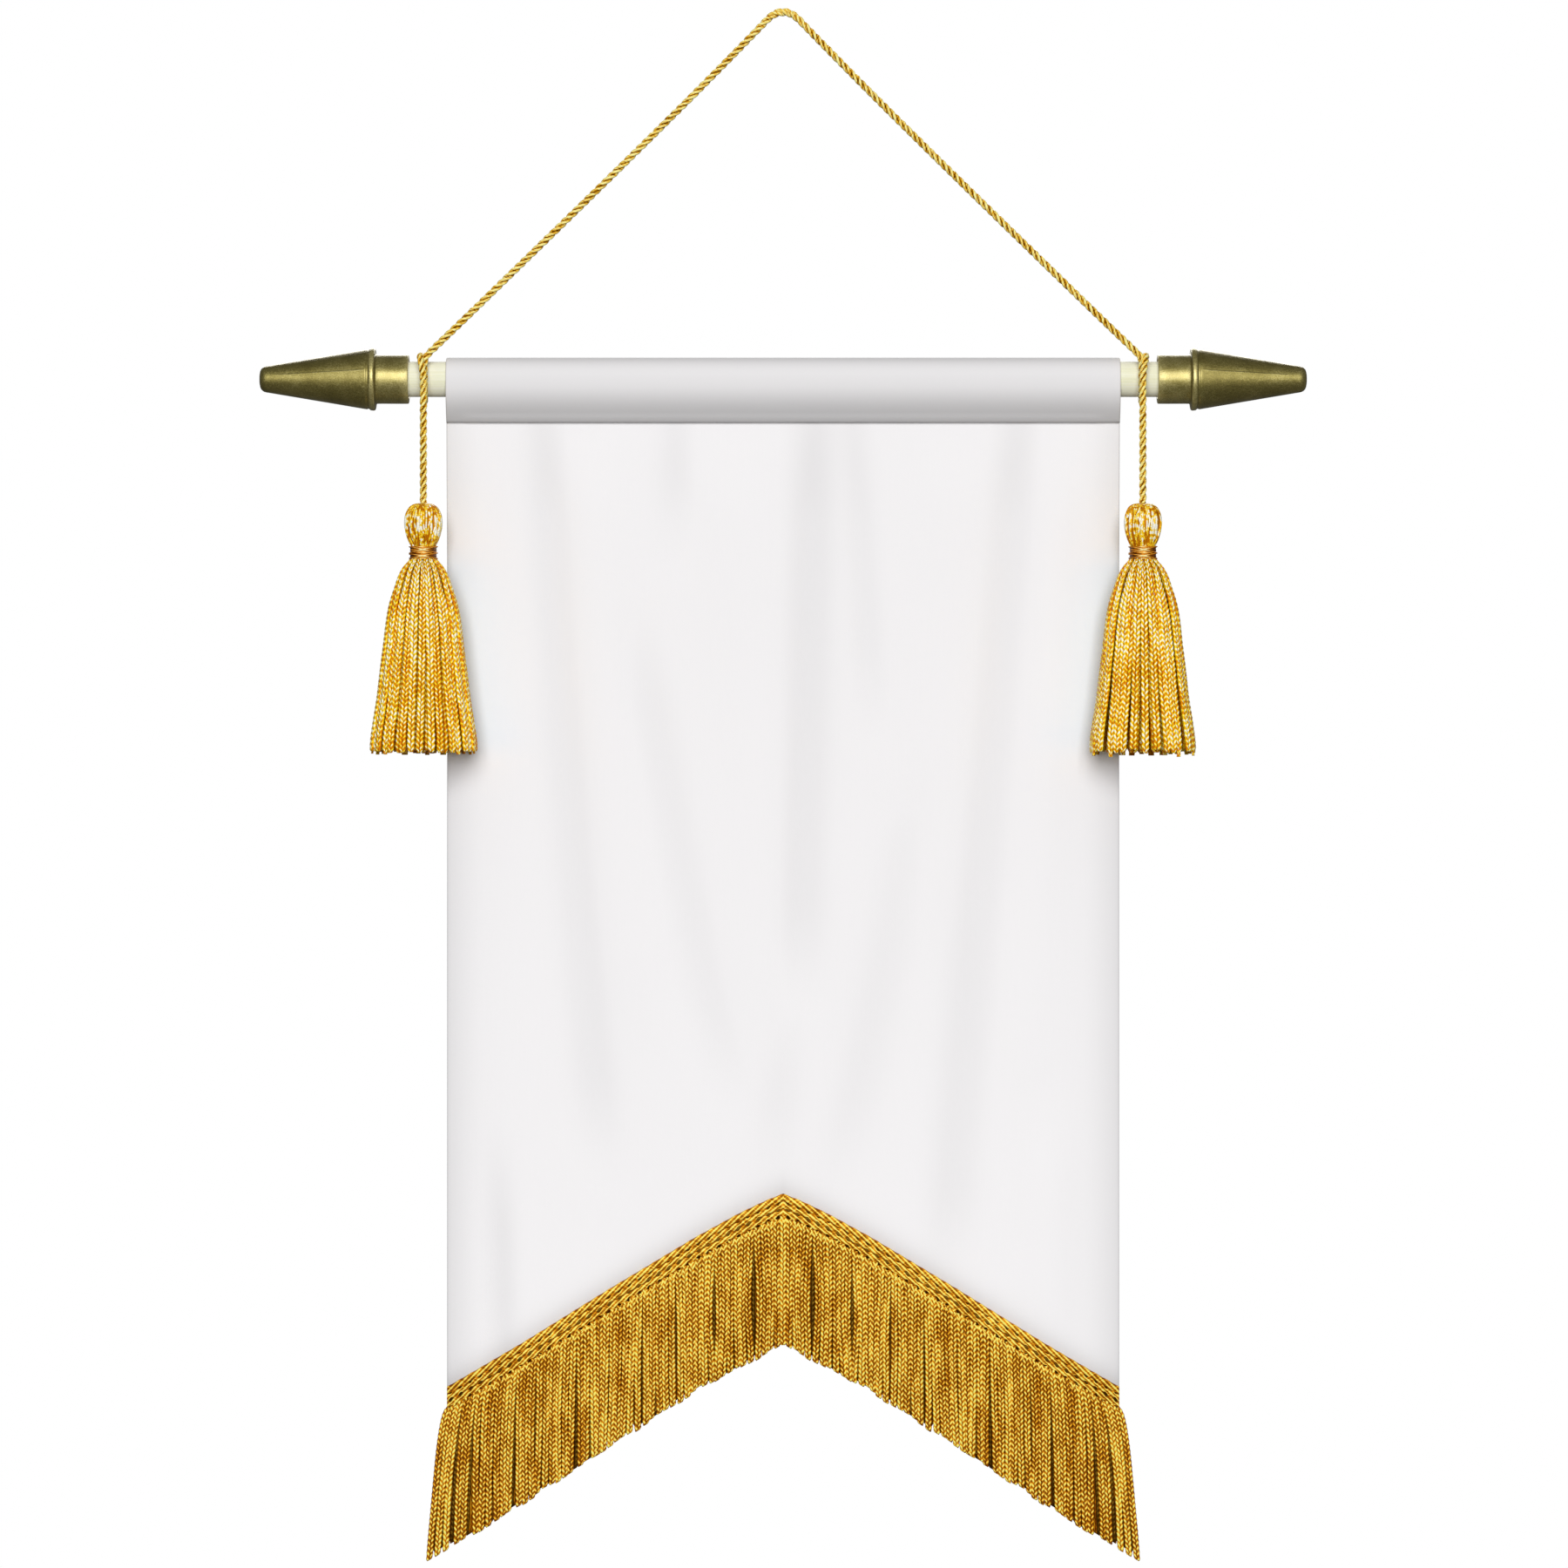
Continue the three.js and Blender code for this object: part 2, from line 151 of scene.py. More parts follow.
FRINGE_LENGTH = 70  # a round figure that sets the steps of a strand
FRINGE_STITCH = 2.35  # from one chain stitch of a strand to the next
STRAND_HALF = 0.74  # a strand is two rows of lobes, each this far to its side
LOBE_LEAN = 0.9
LOBE_SWELL = 0.16
REAR_HALF = 1.6
REAR_SHORTER = 1.3
DRAWS = 60  # random values for the strands of one side
FRINGE_SEED = 41
STITCH_SEED = 5
CLUMP_SIZES = (2, 7)  # two to six strands hang together
CLUMP_LEAN = 0.6
CLUMP_GATHER = 0.08
CLUMP_SQUEEZE = 0.12
SQUEEZE_PLACES = (0.6, 1.7)
STRAND_BELLY = 0.8
STRAND_STRAY = 0.7
TIP_STRAY = 0.3
TIP_SLOPE = 0.6
TIP_WAVE = 0.6

TASSEL_X = 162.2
TASSEL_Y = -13.6
TASSEL_SEED = 11
NECK_TOP_Z = -240.6
NECK_FOOT_Z = -246.9
BAND_RADIUS = 6.15
SKIRT_HALF = 0.86
SKIRT_STITCH = 2.45
SKIRT_FRONT = 0.85  # the skirt is flatter than round, most so on the side of the cloth
SKIRT_BACK = 0.62
SKIRT_CORE = 3  # inner layers shrink to this radius
# How much the strands of a skirt and the threads of a head differ from one another
SKIRT_STRAY = {
    "length": 0.008, "place": 0.02, "turn": 0.035, "radius": 0.3, "stitch": 0.05, "tone": 0.3,
    "start": 0.06,
}
HEAD_STRAY = {"place": 0.02, "turn": 0.2, "wave": 0.09, "radius": 0.16, "tone": 0.4}
STRAND_SIDES = 6
HEAD_THREADS = 78
HEAD_THREAD_RADIUS = 0.44
HEAD_THREAD_SIDES = 5
HEAD_CORE = 0.96  # share of the bulb's radius
HEAD_CORE_SIDES = 40
GLINT_Z = -230.6
GLINT_HALF = 4.2
NECK_WINDS = 11
WIND_STEPS = 36
WIND_RADIUS = 0.34
WIND_DEPTH = 0.45  # of its middle below the band's face
WIND_INSET = 0.3  # of its middle from the band's edges
CROSSING_STEPS = 72
CROSSING_RADIUS = 0.3
CROSSING_LIFT = 0.15
# Threads laid across the neck: lean, where they lean to, and rise over its middle
CROSSINGS = [(1.5, 0, 1.3), (1.4, math.pi, 1.3), (1.2, 0.2, -1.3), (1, math.pi, -1.6)]

# The cord, laid from three plies
CORD_RADIUS = 1.65
PLY_RADIUS = 0.78
CORD_PLIES = 3
PLY_SIDES = 8
PLY_PITCH = 2.3  # of the yarns that show in a ply
CORD_LAY = 11
LAY_STEPS = 24
BEND_HALF = 6  # near the top bend, where the plies spread and thicken
BEND_SWELL = 0.16
WORN_HALF = 8  # near the top bend, where their grooves show less
WORN_FACE = 0.62
CORD_TURN_X = 162
# The right half of its route: down from the rod to the tassel
CORD_HANG = [
    (162.25, -13.65, -167.5), (162.2, -13.6, -173), (162.2, -13.6, -181), (162.2, -13.6, -194),
    (162.2, -13.6, -208), (162.2, -13.6, -221.5),
]
# Round the rod: degrees from the front downwards, radius from the rod's axis, shift to the cap
CORD_TURN = [
    (0, 9.95, 0), (23, 9.95, 0.05), (46, 9.95, 0.15), (69, 9.95, 0.3), (92, 9.95, 0.5), (115, 9.95, 0.7),
    (138, 9.95, 0.9), (161, 9.95, 1.1), (184, 9.95, 1.3), (207, 9.95, 1.5), (230, 9.95, 1.7),
    (253, 9.95, 1.8), (272, 10.05, 1.85), (288, 10.7, 1.85), (300, 11.7, 1.8), (311, 12.9, 1.8),
    (321, 13.9, 1.6), (333, 14.2, 1.1), (345, 13.85, 0.6), (354, 13.7, 0.35),
]
# From the front of the rod up to the top bend
CORD_LEG = [
    (162, -9.95, -158.6), (161.85, -9.94, -156.9), (161.3, -9.92, -155.4), (160.5, -9.87, -154.15),
    (159.4, -9.8, -153), (148, -9.06, -142), (112, -6.77, -106.8), (76, -4.48, -71.4),
    (40, -2.19, -35.5), (14, -0.5, -8.9), (9.3, -0.2, -4), (6.3, -0.05, -1), (3.3, 0, 1),
]
CORD_TOP = (0, 0, 1.65)
SIDES = {"left": -1, "right": 1}
CURVE_STEPS = 40  # places between two points of a curve, before they are spaced evenly


# Small tools for shapes

def fade(share):
    """0 below 0, 1 above 1, and a smooth step between."""
    share = np.clip(share, 0, 1)
    return share * share * (3 - 2 * share)


def wave(turns):
    return np.cos(2 * math.pi * turns)


def unit(vectors):
    return vectors / np.linalg.norm(vectors, axis=-1, keepdims=True)


def smooth_path(points, spacing):
    """A centripetal curve through the points, with evenly spaced places."""
    points = np.array(points, float)
    points = np.vstack([2 * points[0] - points[1], points, 2 * points[-1] - points[-2]])
    share = np.linspace(0, 1, CURVE_STEPS, endpoint=False)[:, None]
    runs = []
    for before, start, end, after in zip(points, points[1:], points[2:], points[3:]):
        gap = [np.linalg.norm(b - a) ** 0.5 for a, b in ((before, start), (start, end), (end, after))]
        leave = (start - before) / gap[0] - (end - before) / (gap[0] + gap[1]) + (end - start) / gap[1]
        reach = (end - start) / gap[1] - (after - start) / (gap[1] + gap[2]) + (after - end) / gap[2]
        leave, reach = leave * gap[1], reach * gap[1]
        cubic = 2 * start - 2 * end + leave + reach
        square = -3 * start + 3 * end - 2 * leave - reach
        runs.append(start + share * leave + share ** 2 * square + share ** 3 * cubic)
    dense = np.vstack(runs + [points[-2][None]])
    reach = np.concatenate([[0], np.cumsum(np.linalg.norm(np.diff(dense, axis=0), axis=1))])
    places = np.linspace(0, reach[-1], round(reach[-1] / spacing) + 1)
    return np.stack([np.interp(places, reach, dense[:, axis]) for axis in range(3)], axis=1)


def directions(path):
    """Two directions across a path at each place, which turn as little as they can."""
    ahead = unit(np.gradient(path, axis=0))
    side = np.empty_like(path)
    last = np.cross((0, 1, 0), ahead[0])
    for place, forward in enumerate(ahead):
        last = unit(last - last.dot(forward) * forward)
        side[place] = last
    return side, np.cross(ahead, side)


def lengths(path):
    """How far along each place of the paths is. The places are on the last axis but one."""
    steps = np.linalg.norm(np.diff(path, axis=-2), axis=-1)
    return np.concatenate([np.zeros_like(steps[..., :1]), np.cumsum(steps, axis=-1)], axis=-1)


def turned_angles(sides):
    return np.linspace(0, 2 * math.pi, sides, endpoint=False)


class Skin:
    """The mesh of one piece, collected from tubes and slabs, with named values at its points."""

    def __init__(self):
        self.points = []
        self.faces = []
        self.values = {}
        self.count = 0

    def add(self, points, faces, values):
        shape = points.shape[:-1]
        self.points.append(points.reshape(-1, 3))
        self.faces.extend(face + self.count for face in faces)
        for name, value in values.items():
            value = np.asarray(value, float)
            if name == "thread":
                value = np.broadcast_to(value, (*shape, 3)).reshape(-1, 3)
            else:
                value = np.broadcast_to(value, shape).reshape(-1)
            self.values.setdefault(name, []).append(value)
        self.count += points.size // 3

    def tubes(self, rings, **values):
        """Closed tubes: the rings have the axes tube, step, side and place."""
        index = np.arange(rings.size // 3).reshape(rings.shape[:-1])
        after = np.roll(index, -1, axis=2)
        walls = np.stack([index[:, :-1], after[:, :-1], after[:, 1:], index[:, 1:]], axis=-1)
        ends = [index[:, 0, ::-1], index[:, -1]]
        self.add(rings, [walls.reshape(-1, 4), *ends], values)

    def slab(self, front, back, **values):
        """A closed sheet from the grids of its two faces."""
        grid = np.stack([front, back])
        index = np.arange(grid.size // 3).reshape(grid.shape[:-1])
        faces = []
        for layer, order in ((index[0], (0, 1, 2, 3)), (index[1], (3, 2, 1, 0))):
            corners = (layer[:-1, :-1], layer[1:, :-1], layer[1:, 1:], layer[:-1, 1:])
            faces.append(np.stack([corners[i] for i in order], axis=-1).reshape(-1, 4))
        edge = [np.concatenate([
            layer[0, :-1], layer[:-1, -1], layer[-1, :0:-1], layer[:0:-1, 0],
        ]) for layer in index]
        after = [np.roll(loop, -1) for loop in edge]
        faces.append(np.stack([edge[0], after[0], after[1], edge[1]], axis=-1))
        self.add(grid, faces, values)

    def piece(self, name, finish, stands_for, sharp=None):
        """Makes the Blender object, which rides on the body and stands for CAD nodes."""
        mesh = bpy.data.meshes.new(name)
        points = np.concatenate(self.points) * MM
        mesh.vertices.add(len(points))
        mesh.vertices.foreach_set("co", points.ravel())
        corners = np.concatenate([face.ravel() for face in self.faces])
        sizes = np.concatenate([np.full(len(face), face.shape[1]) for face in self.faces])
        mesh.loops.add(len(corners))
        mesh.loops.foreach_set("vertex_index", corners)
        mesh.polygons.add(len(sizes))
        mesh.polygons.foreach_set("loop_start", np.cumsum(sizes) - sizes)
        mesh.update(calc_edges=True)
        for value_name, runs in self.values.items():
            value = np.concatenate(runs)
            kind = "FLOAT_VECTOR" if value.ndim == 2 else "FLOAT"
            attribute = mesh.attributes.new(value_name, kind, "POINT")
            attribute.data.foreach_set("vector" if value.ndim == 2 else "value", value.ravel())
        mesh.shade_smooth()
        if sharp:
            mesh.set_sharp_from_angle(angle=math.radians(sharp))
        mesh.materials.append(finish)
        made = bpy.data.objects.new(name, mesh)
        bpy.context.scene.collection.objects.link(made)
        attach(made, "root")
        for node in stands_for:
            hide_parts(node)
        return made


# Materials

def tint(code):
    """A linear colour from its six-figure sRGB code."""
    shares = [int(code[i:i + 2], 16) / 255 for i in (0, 2, 4)]
    return (*[s / 12.92 if s < 0.04045 else ((s + 0.055) / 1.055) ** 2.4 for s in shares], 1)


class Value:
    """A socket of a material that takes part in arithmetic."""

    def __init__(self, finish, socket):
        self.finish = finish
        self.socket = socket

    def math(self, operation, *terms):
        return self.finish.node("Math", {"operation": operation}, dict(enumerate(terms)))

    def __add__(self, other):
        return self.math("ADD", self, other)

    def __radd__(self, other):
        return self.math("ADD", other, self)

    def __sub__(self, other):
        return self.math("SUBTRACT", self, other)

    def __rsub__(self, other):
        return self.math("SUBTRACT", other, self)

    def __mul__(self, other):
        return self.math("MULTIPLY", self, other)

    def __rmul__(self, other):
        return self.math("MULTIPLY", other, self)

    def __pow__(self, other):
        return self.math("POWER", self, other)

    def sine(self):
        return self.math("SINE", self)

    def rise(self, low, high):
        """0 at low and 1 at high, with a smooth step between."""
        settings = {"interpolation_type": "SMOOTHSTEP"}
        return self.finish.node("MapRange", settings, {"Value": self, "From Min": low, "From Max": high})


class Finish:
    """A procedural material."""

    def __init__(self, name):
        self.material = bpy.data.materials.new(name)
        self.material.use_nodes = True
        self.tree = self.material.node_tree
        self.tree.nodes.clear()

    def node(self, kind, settings, inputs, output=0):
        made = self.tree.nodes.new("ShaderNode" + kind)
        for name, setting in settings.items():
            if name == "stops":
                for place, colour in setting[2:]:
                    made.color_ramp.elements.new(place)
                for element, (place, colour) in zip(made.color_ramp.elements, sorted(setting)):
                    element.position = place
                    element.color = colour
            else:
                setattr(made, name, setting)
        for name, value in inputs.items():
            if isinstance(value, Value):
                self.tree.links.new(value.socket, made.inputs[name])
            else:
                made.inputs[name].default_value = value
        return Value(self, made.outputs[output]) if made.outputs else made

    def measure(self, name, output="Fac"):
        return self.node("Attribute", {"attribute_name": name}, {}, output)

    def place(self):
        return self.node("TexCoord", {}, {}, "Object")

    def stretched(self, vector, factors):
        return self.node("VectorMath", {"operation": "MULTIPLY"}, {0: vector, 1: factors})

    def noise(self, vector, scale, detail=2.0):
        return self.node("TexNoise", {}, {"Vector": vector, "Scale": scale, "Detail": detail})

    def ramp(self, value, *stops):
        stops = [(place, tint(code)) for place, code in stops]
        return self.node("ValToRGB", {"stops": stops}, {"Fac": value})

    def blend(self, share, first, second):
        inputs = {0: share, 6: first, 7: second}
        return self.node("Mix", {"data_type": "RGBA"}, inputs, 2)

    def dimmed(self, colour, share):
        colour = colour[:3] if isinstance(colour, tuple) else colour
        return self.node("VectorMath", {"operation": "SCALE"}, {0: colour, "Scale": share})

    def bump(self, height, depth, strength=1.0):
        """A normal from heights between 0 and 1, where 1 stands depth millimetres high."""
        inputs = {"Height": height, "Distance": depth * MM, "Strength": strength}
        return self.node("Bump", {}, inputs, "Normal")

    def surface(self, **inputs):
        inputs = {name.replace("_", " "): value for name, value in inputs.items()}
        shader = self.node("BsdfPrincipled", {}, inputs)
        self.node("OutputMaterial", {}, {"Surface": shader})
        return self.material


def yarn_finish(name, colours, stops=(0, 0.26, 0.54, 0.8), spark=0.5, speckle=0.35, dark=0.08):
    """Shiny yarn, its colours running from painted groove shade to painted glints, with painted light on
    each thread's facing side. Dark: how bright the painted shade between the threads stays.
    """
    finish = Finish(name)
    thread = finish.measure("thread", "Vector")
    phase = finish.measure("phase")
    tone = finish.measure("tone")
    face = finish.measure("face")
    stitch = 0.5 + 0.5 * (phase * (2 * math.pi) + math.pi / 2).sine()
    glow = finish.noise(finish.stretched(thread, (spark, 2, 2)), 1.0)
    streak = finish.noise(finish.stretched(thread, (0.09, 0.8, 0.8)), 1.0)
    fibre = finish.noise(finish.stretched(thread, (1.4, 7, 7)), 1.0)
    patch = finish.noise(finish.place(), 45)
    # Painted glints on the stitches' crests where the face is high, and painted groove shade where it is
    # low
    lift = stitch ** 1.4 * face + (glow.rise(0.3, 0.7) - 0.5) * speckle
    lift = lift + (streak.rise(0.3, 0.7) - 0.5) * 0.5 + (tone - 0.5) * 0.3 + (patch - 0.5) * 0.3
    colour = finish.ramp(lift, *zip(stops, colours))
    # Painted shade darkens the colour where the face is low, down to dark
    shade = (0.88 + 0.12 * fibre.rise(0.3, 0.7)) * (dark + (1 - dark) * face.rise(0, 0.1))
    return finish.surface(
        Base_Color=finish.dimmed(colour, shade),
        Roughness=0.3 + 0.16 * fibre,
        Specular_IOR_Level=0.7,
        Specular_Tint=tint("ffc040"),
        Normal=finish.bump(0.7 * stitch + 0.3 * fibre, 0.15, 0.7),
    )


def cloth_finish():
    """Matt white cloth in a fine plain weave, a little uneven in tone, with painted shade and painted light
    on its face.
    """
    finish = Finish("white woven cloth")
    across = finish.measure("across")
    along = finish.measure("along")
    warp = (across * (2 * math.pi / THREAD_PITCH)).sine()
    weft = (along * (2 * math.pi / THREAD_PITCH)).sine()
    slub = finish.noise(finish.stretched(finish.place(), (900, 900, 60)), 1.0)
    cloud = finish.noise(finish.place(), 9)
    weave = 0.5 + 0.25 * (warp * weft) + 0.25 * slub
    # Painted shade in the panel's folds, at its sides and sleeve ends, and painted shadow beside the
    # heading and tassels
    shade = (0.965 + 0.02 * cloud + 0.012 * slub) * (1 - PAINTED_SHADE_STRENGTH * finish.measure("hollow"))
    # Painted shade over the sleeve, darkest at the flap's lower edge, and painted light that brightens the
    # panel a little towards its foot
    painted_sleeve_shade_and_lift = 0.64 + 0.22 * along.rise(6, 20) + 0.12 * along.rise(44, 60) + 0.03 * along.rise(60, 520)
    # A cool tint painted beside the tassels offsets the warm light they reflect onto the cloth
    cloth = finish.blend(finish.measure("cool"), tint("f5f4f5"), tint("e9f1fa"))
    return finish.surface(
        Base_Color=finish.dimmed(cloth, shade * painted_sleeve_shade_and_lift),
        Roughness=0.82 + 0.1 * slub,
        Sheen_Weight=0.2,
        Normal=finish.bump(weave, 0.08, 0.5),
    )


def wood_finish():
    """Bare pale sanded wood with fine grain along the rod, painted paler at the rod's top and bottom and
    darker at its front and back, as painted light and shade.
    """
    finish = Finish("pale sanded wood")
    grain = finish.noise(finish.stretched(finish.place(), (18, 900, 900)), 1.0, 4.0)
    pore = finish.noise(finish.stretched(finish.place(), (120, 2600, 2600)), 1.0)
    cloud = finish.noise(finish.place(), 40)
    tone = 0.6 * grain + 0.25 * cloud + 0.15 * pore
    colour = finish.ramp(tone, (0.3, "eeeec6"), (0.5, "f8f9dd"), (0.7, "fffff0"))
    # Rim is 1 at the rod's top and bottom: painted light makes them paler, and painted shade dims the front
    # and back
    rim = finish.measure("rim")
    pale = finish.blend(0.8 * rim, colour, tint("ffffee"))
    return finish.surface(
        Base_Color=finish.dimmed(pale, 0.84 + 0.16 * rim),
        Roughness=0.55 + 0.2 * pore,
        Normal=finish.bump(0.6 * grain + 0.4 * pore, 0.1, 0.5),
    )


def cap_finish():
    """Gold-brown metallic paint with fine flakes, thin where it has rubbed."""
    finish = Finish("metallic gold paint")
    flake = finish.node("TexVoronoi", {}, {"Vector": finish.place(), "Scale": 3800}, "Color")
    sparkle = finish.node("SeparateColor", {}, {"Color": flake})
    cloud = finish.noise(finish.place(), 110, 3.0)
    scratch = finish.noise(finish.stretched(finish.place(), (40, 1500, 500)), 1.0)
    rub = finish.measure("rub")
    colour = finish.ramp(
        0.5 * cloud + 0.32 * sparkle + 0.3 * rub, (0.1, "655b2a"), (0.45, "8c8143"), (0.9, "d0c586")
    )
    return finish.surface(
        Base_Color=colour,
        Metallic=0.85 - 0.2 * rub,
        Roughness=0.3 + 0.14 * sparkle + 0.1 * scratch,
        Coat_Weight=0.35,
        Coat_Roughness=0.25,
        Normal=finish.bump(0.5 * sparkle + 0.5 * scratch, 0.05, 0.6),
    )


def floor_finish():
    finish = Finish("grey floor")
    cloud = finish.noise(finish.place(), 3)
    return finish.surface(Base_Color=finish.dimmed(tint("737373"), 0.97 + 0.03 * cloud), Roughness=0.9)


# Camera, floor and light

def camera():
    data = bpy.data.cameras.new("camera")
    data.sensor_width = SENSOR_WIDTH
    data.lens = SENSOR_WIDTH * CAMERA_DISTANCE / PHOTO_SIDE
    made = bpy.data.objects.new("camera", data)
    made.location = (PHOTO_CENTRE[0] * MM, -CAMERA_DISTANCE * MM, PHOTO_CENTRE[1] * MM)
    made.rotation_euler = (math.pi / 2, 0, 0)
    bpy.context.scene.collection.objects.link(made)
    bpy.context.scene.camera = made


def floor():
    angles = turned_angles(FLOOR_SIDES)
    rim = np.stack([FLOOR_RADIUS * np.cos(angles), FLOOR_RADIUS * np.sin(angles)], axis=1)
    mesh = bpy.data.meshes.new("floor")
    mesh.from_pydata([(x * MM, y * MM, FLOOR_Z * MM) for x, y in rim], [], [list(range(len(rim)))])
    mesh.materials.append(floor_finish())
    made = bpy.data.objects.new("floor", mesh)
    bpy.context.scene.collection.objects.link(made)


def softbox(name, place, width, height, watts, colour):
    """A soft light that faces the middle of the banner. Its place is in millimetres."""
    data = bpy.data.lights.new(name, "AREA")
    data.shape = "RECTANGLE"
    data.size = width * MM
    data.size_y = height * MM
    data.energy = watts
    data.color = tint(colour)[:3]
    made = bpy.data.objects.new(name, data)
    target = np.array((0, 0, PHOTO_CENTRE[1]))
    away = np.array(place) - target
    made.location = [number * MM for number in place]
    made.rotation_euler = (
        math.acos(away[2] / np.linalg.norm(away)), 0, math.atan2(away[1], away[0]) + math.pi / 2
    )
    bpy.context.scene.collection.objects.link(made)


def surroundings():
    """White where the camera looks, dimmer where it lights the banner."""
    world = bpy.data.worlds.new("surroundings")
    world.use_nodes = True
    tree = world.node_tree
    shade = tree.nodes["Background"]
    paths = tree.nodes.new("ShaderNodeLightPath")
    level = tree.nodes.new("ShaderNodeMapRange")
    level.inputs["To Min"].default_value = AMBIENT
    level.inputs["To Max"].default_value = 1
    tree.links.new(paths.outputs["Is Camera Ray"], level.inputs["Value"])
    tree.links.new(level.outputs[0], shade.inputs["Strength"])
    shade.inputs["Color"].default_value = (1, 1, 1, 1)
    bpy.context.scene.world = world
    bpy.context.scene.view_settings.view_transform = "Standard"


# The cord

def cord_turn_point(degrees, radius, shift):
    angle = math.radians(degrees)
    return (CORD_TURN_X + shift, -radius * math.cos(angle), ROD_Z - radius * math.sin(angle))


def cord_route():
    turn = [cord_turn_point(*row) for row in CORD_TURN]
    right = CORD_HANG[::-1] + turn[::-1] + CORD_LEG
    left = [(-x, y, z) for x, y, z in right]
    return left + [CORD_TOP] + right[::-1]


def cord():
    """Three strands laid round one another along the route."""
    path = smooth_path(cord_route(), CORD_LAY / LAY_STEPS)
    side, up = directions(path)
    along = lengths(path)
    angles = turned_angles(PLY_SIDES)
    skin = Skin()
    for strand in range(CORD_PLIES):
        lay = 2 * math.pi * (along / CORD_LAY + strand / CORD_PLIES)
        outward = np.cos(lay)[:, None] * side + np.sin(lay)[:, None] * up
        pressed = 1 + BEND_SWELL * np.exp(-((path[:, 0] / BEND_HALF) ** 2))
        centre = path + (CORD_RADIUS - PLY_RADIUS) * pressed[:, None] * outward
        swell = PLY_RADIUS * (1.04 + 0.04 * wave(along / PLY_PITCH + strand * 0.37)) * pressed
        spoke = np.cos(angles)[None, :, None] * side[:, None] + np.sin(angles)[None, :, None] * up[:, None]
        rings = centre[:, None] + swell[:, None, None] * spoke
        facing = (spoke * outward[:, None]).sum(axis=-1)
        thread = np.stack([
            np.broadcast_to(along[:, None] + 90 * strand, facing.shape),
            np.cos(angles - lay[:, None] * 3), np.sin(angles - lay[:, None] * 3),
        ], axis=-1)
        worn = np.exp(-((path[:, 0] / WORN_HALF) ** 2))[:, None]
        # Face paints each ply brighter where it faces out and darker in the grooves: painted light and
        # shade. Near the top bend it is one even level.
        face = np.clip(0.3 + 0.55 * facing, 0, 1) * (1 - worn) + WORN_FACE * worn
        skin.tubes(rings[None], face=face[None], thread=thread[None], tone=0.5)
    finish = yarn_finish(
        "twisted gold cord", ("623404", "d68c08", "facc28", "fffaa4"), spark=0.9, speckle=0.8,
    )
    made = skin.piece("twisted_cord", finish, ["hanger_cord"])


# The cloth

def folds(x, z):
    """The depth of the folds, plus to the back, as if they ran on above the seam."""
    deep = np.zeros(np.broadcast(x, z).shape)
    for (top_x, top_z), (foot_x, foot_z), bow, width, depth in FOLDS:
        share = (top_z - z) / (top_z - foot_z)
        line = top_x + (foot_x - top_x) * share + bow * 4 * share * (1 - share)
        start = 1 if top_z > SEAM_Z - FOLD_FADE else fade((top_z - z) / FOLD_FADE)
        end = fade((z - foot_z) / FOLD_FADE)
        deep = deep + depth * start * end * np.exp(-(((x - line) / width) ** 2))
    return deep


def drape(x, z):
    """How far behind the rod's plane the panel's face lies."""
    curl = np.maximum(0, (np.abs(x) - CURL_START_X) / (CLOTH_HALF_WIDTH - CURL_START_X)) ** 2
    return folds(x, z) * fade((SEAM_Z - z) / SEAM_FADE) + CURL_DEPTH * curl * fade((SEAM_Z - z) / CURL_FADE)


def beside_tassel(x, z, width):
    """1 beside a tassel's skirt, and 0 a little more than the width away from it."""
    inside = TASSEL_X - np.interp(-z, -SKIRT_HEIGHTS, SKIRT_RADII) - np.abs(x)
    over_foot = fade((z - TASSEL_TONE_FOOT_Z) / TASSEL_TONE_FADE)
    under_top = fade((TASSEL_TONE_TOP_Z - z) / TASSEL_TONE_FADE)
    return np.exp(-((np.maximum(inside, 0) / width) ** 2)) * over_foot * under_top


def panel_shade(x, z):
    """How much painted shade the panel's face gets: in its folds and at its sides, and painted shadow
    beside the heading and the tassels.
    """
    side = np.clip((np.abs(x) - SIDE_SHADE_X) / (CLOTH_HALF_WIDTH - SIDE_SHADE_X), 0, 1) ** 1.4
    above = np.maximum(z - hem_z(x) - along_table(x, HEADING_BOW) - HEADING_RISE, 0)
    # Painted shadow just above the heading
    halo = np.exp(-((above / HEADING_SHADE_REACH) ** 1.4))
    valley = np.maximum(folds(x, z), 0)
    # Painted shadow beside the tassels
    tassel = beside_tassel(x, z, TASSEL_SHADE_REACH)
    return FOLD_SHADE * valley + SIDE_SHADE * side + HEADING_SHADE * halo + TASSEL_SHADE * tassel


def hem_z(x):
    return NOTCH_Z - np.abs(x) * HEM_SLOPE


def heading_y(x):
    return drape(x, hem_z(x)) - HEADING_GAP


def along_table(x, table):
    """A value from a table of distances to the middle and values."""
    return np.interp(np.abs(x), *zip(*table))


def sleeve_rows(thickness):
    """The middle of the cloth from the flap's edge up over the rod and down behind it, as y and z."""
    middle = SLEEVE_RADIUS - thickness / 2
    edge = thickness / 2 - FLAP_FRONT
    inset = middle + edge
    height = ROD_Z - SEAM_Z
    roll = (inset ** 2 + height ** 2) / (2 * inset)
    bend = np.arcsin(height / roll)
    rows = []
    for share in np.linspace(1, 0, FLAP_ROWS, endpoint=False):
        rows.append((roll * (1 - np.cos(share * bend)) - middle, ROD_Z - roll * np.sin(share * bend)))
    foot_y = thickness / 2
    foot_z = STITCH_Z - ROD_Z
    leave = np.arctan2(foot_z, foot_y) + np.arccos(middle / np.hypot(foot_y, foot_z))
    for share in np.linspace(0, 1, ROLL_ROWS):
        angle = math.pi + (leave - math.pi) * share
        rows.append((middle * np.cos(angle), ROD_Z + middle * np.sin(angle)))
    last_y, last_z = rows[-1]
    for share in np.linspace(0, 1, LEAVE_ROWS)[1:-1]:
        rows.append((last_y + (foot_y - last_y) * share, last_z + (STITCH_Z - last_z) * share))
    return rows


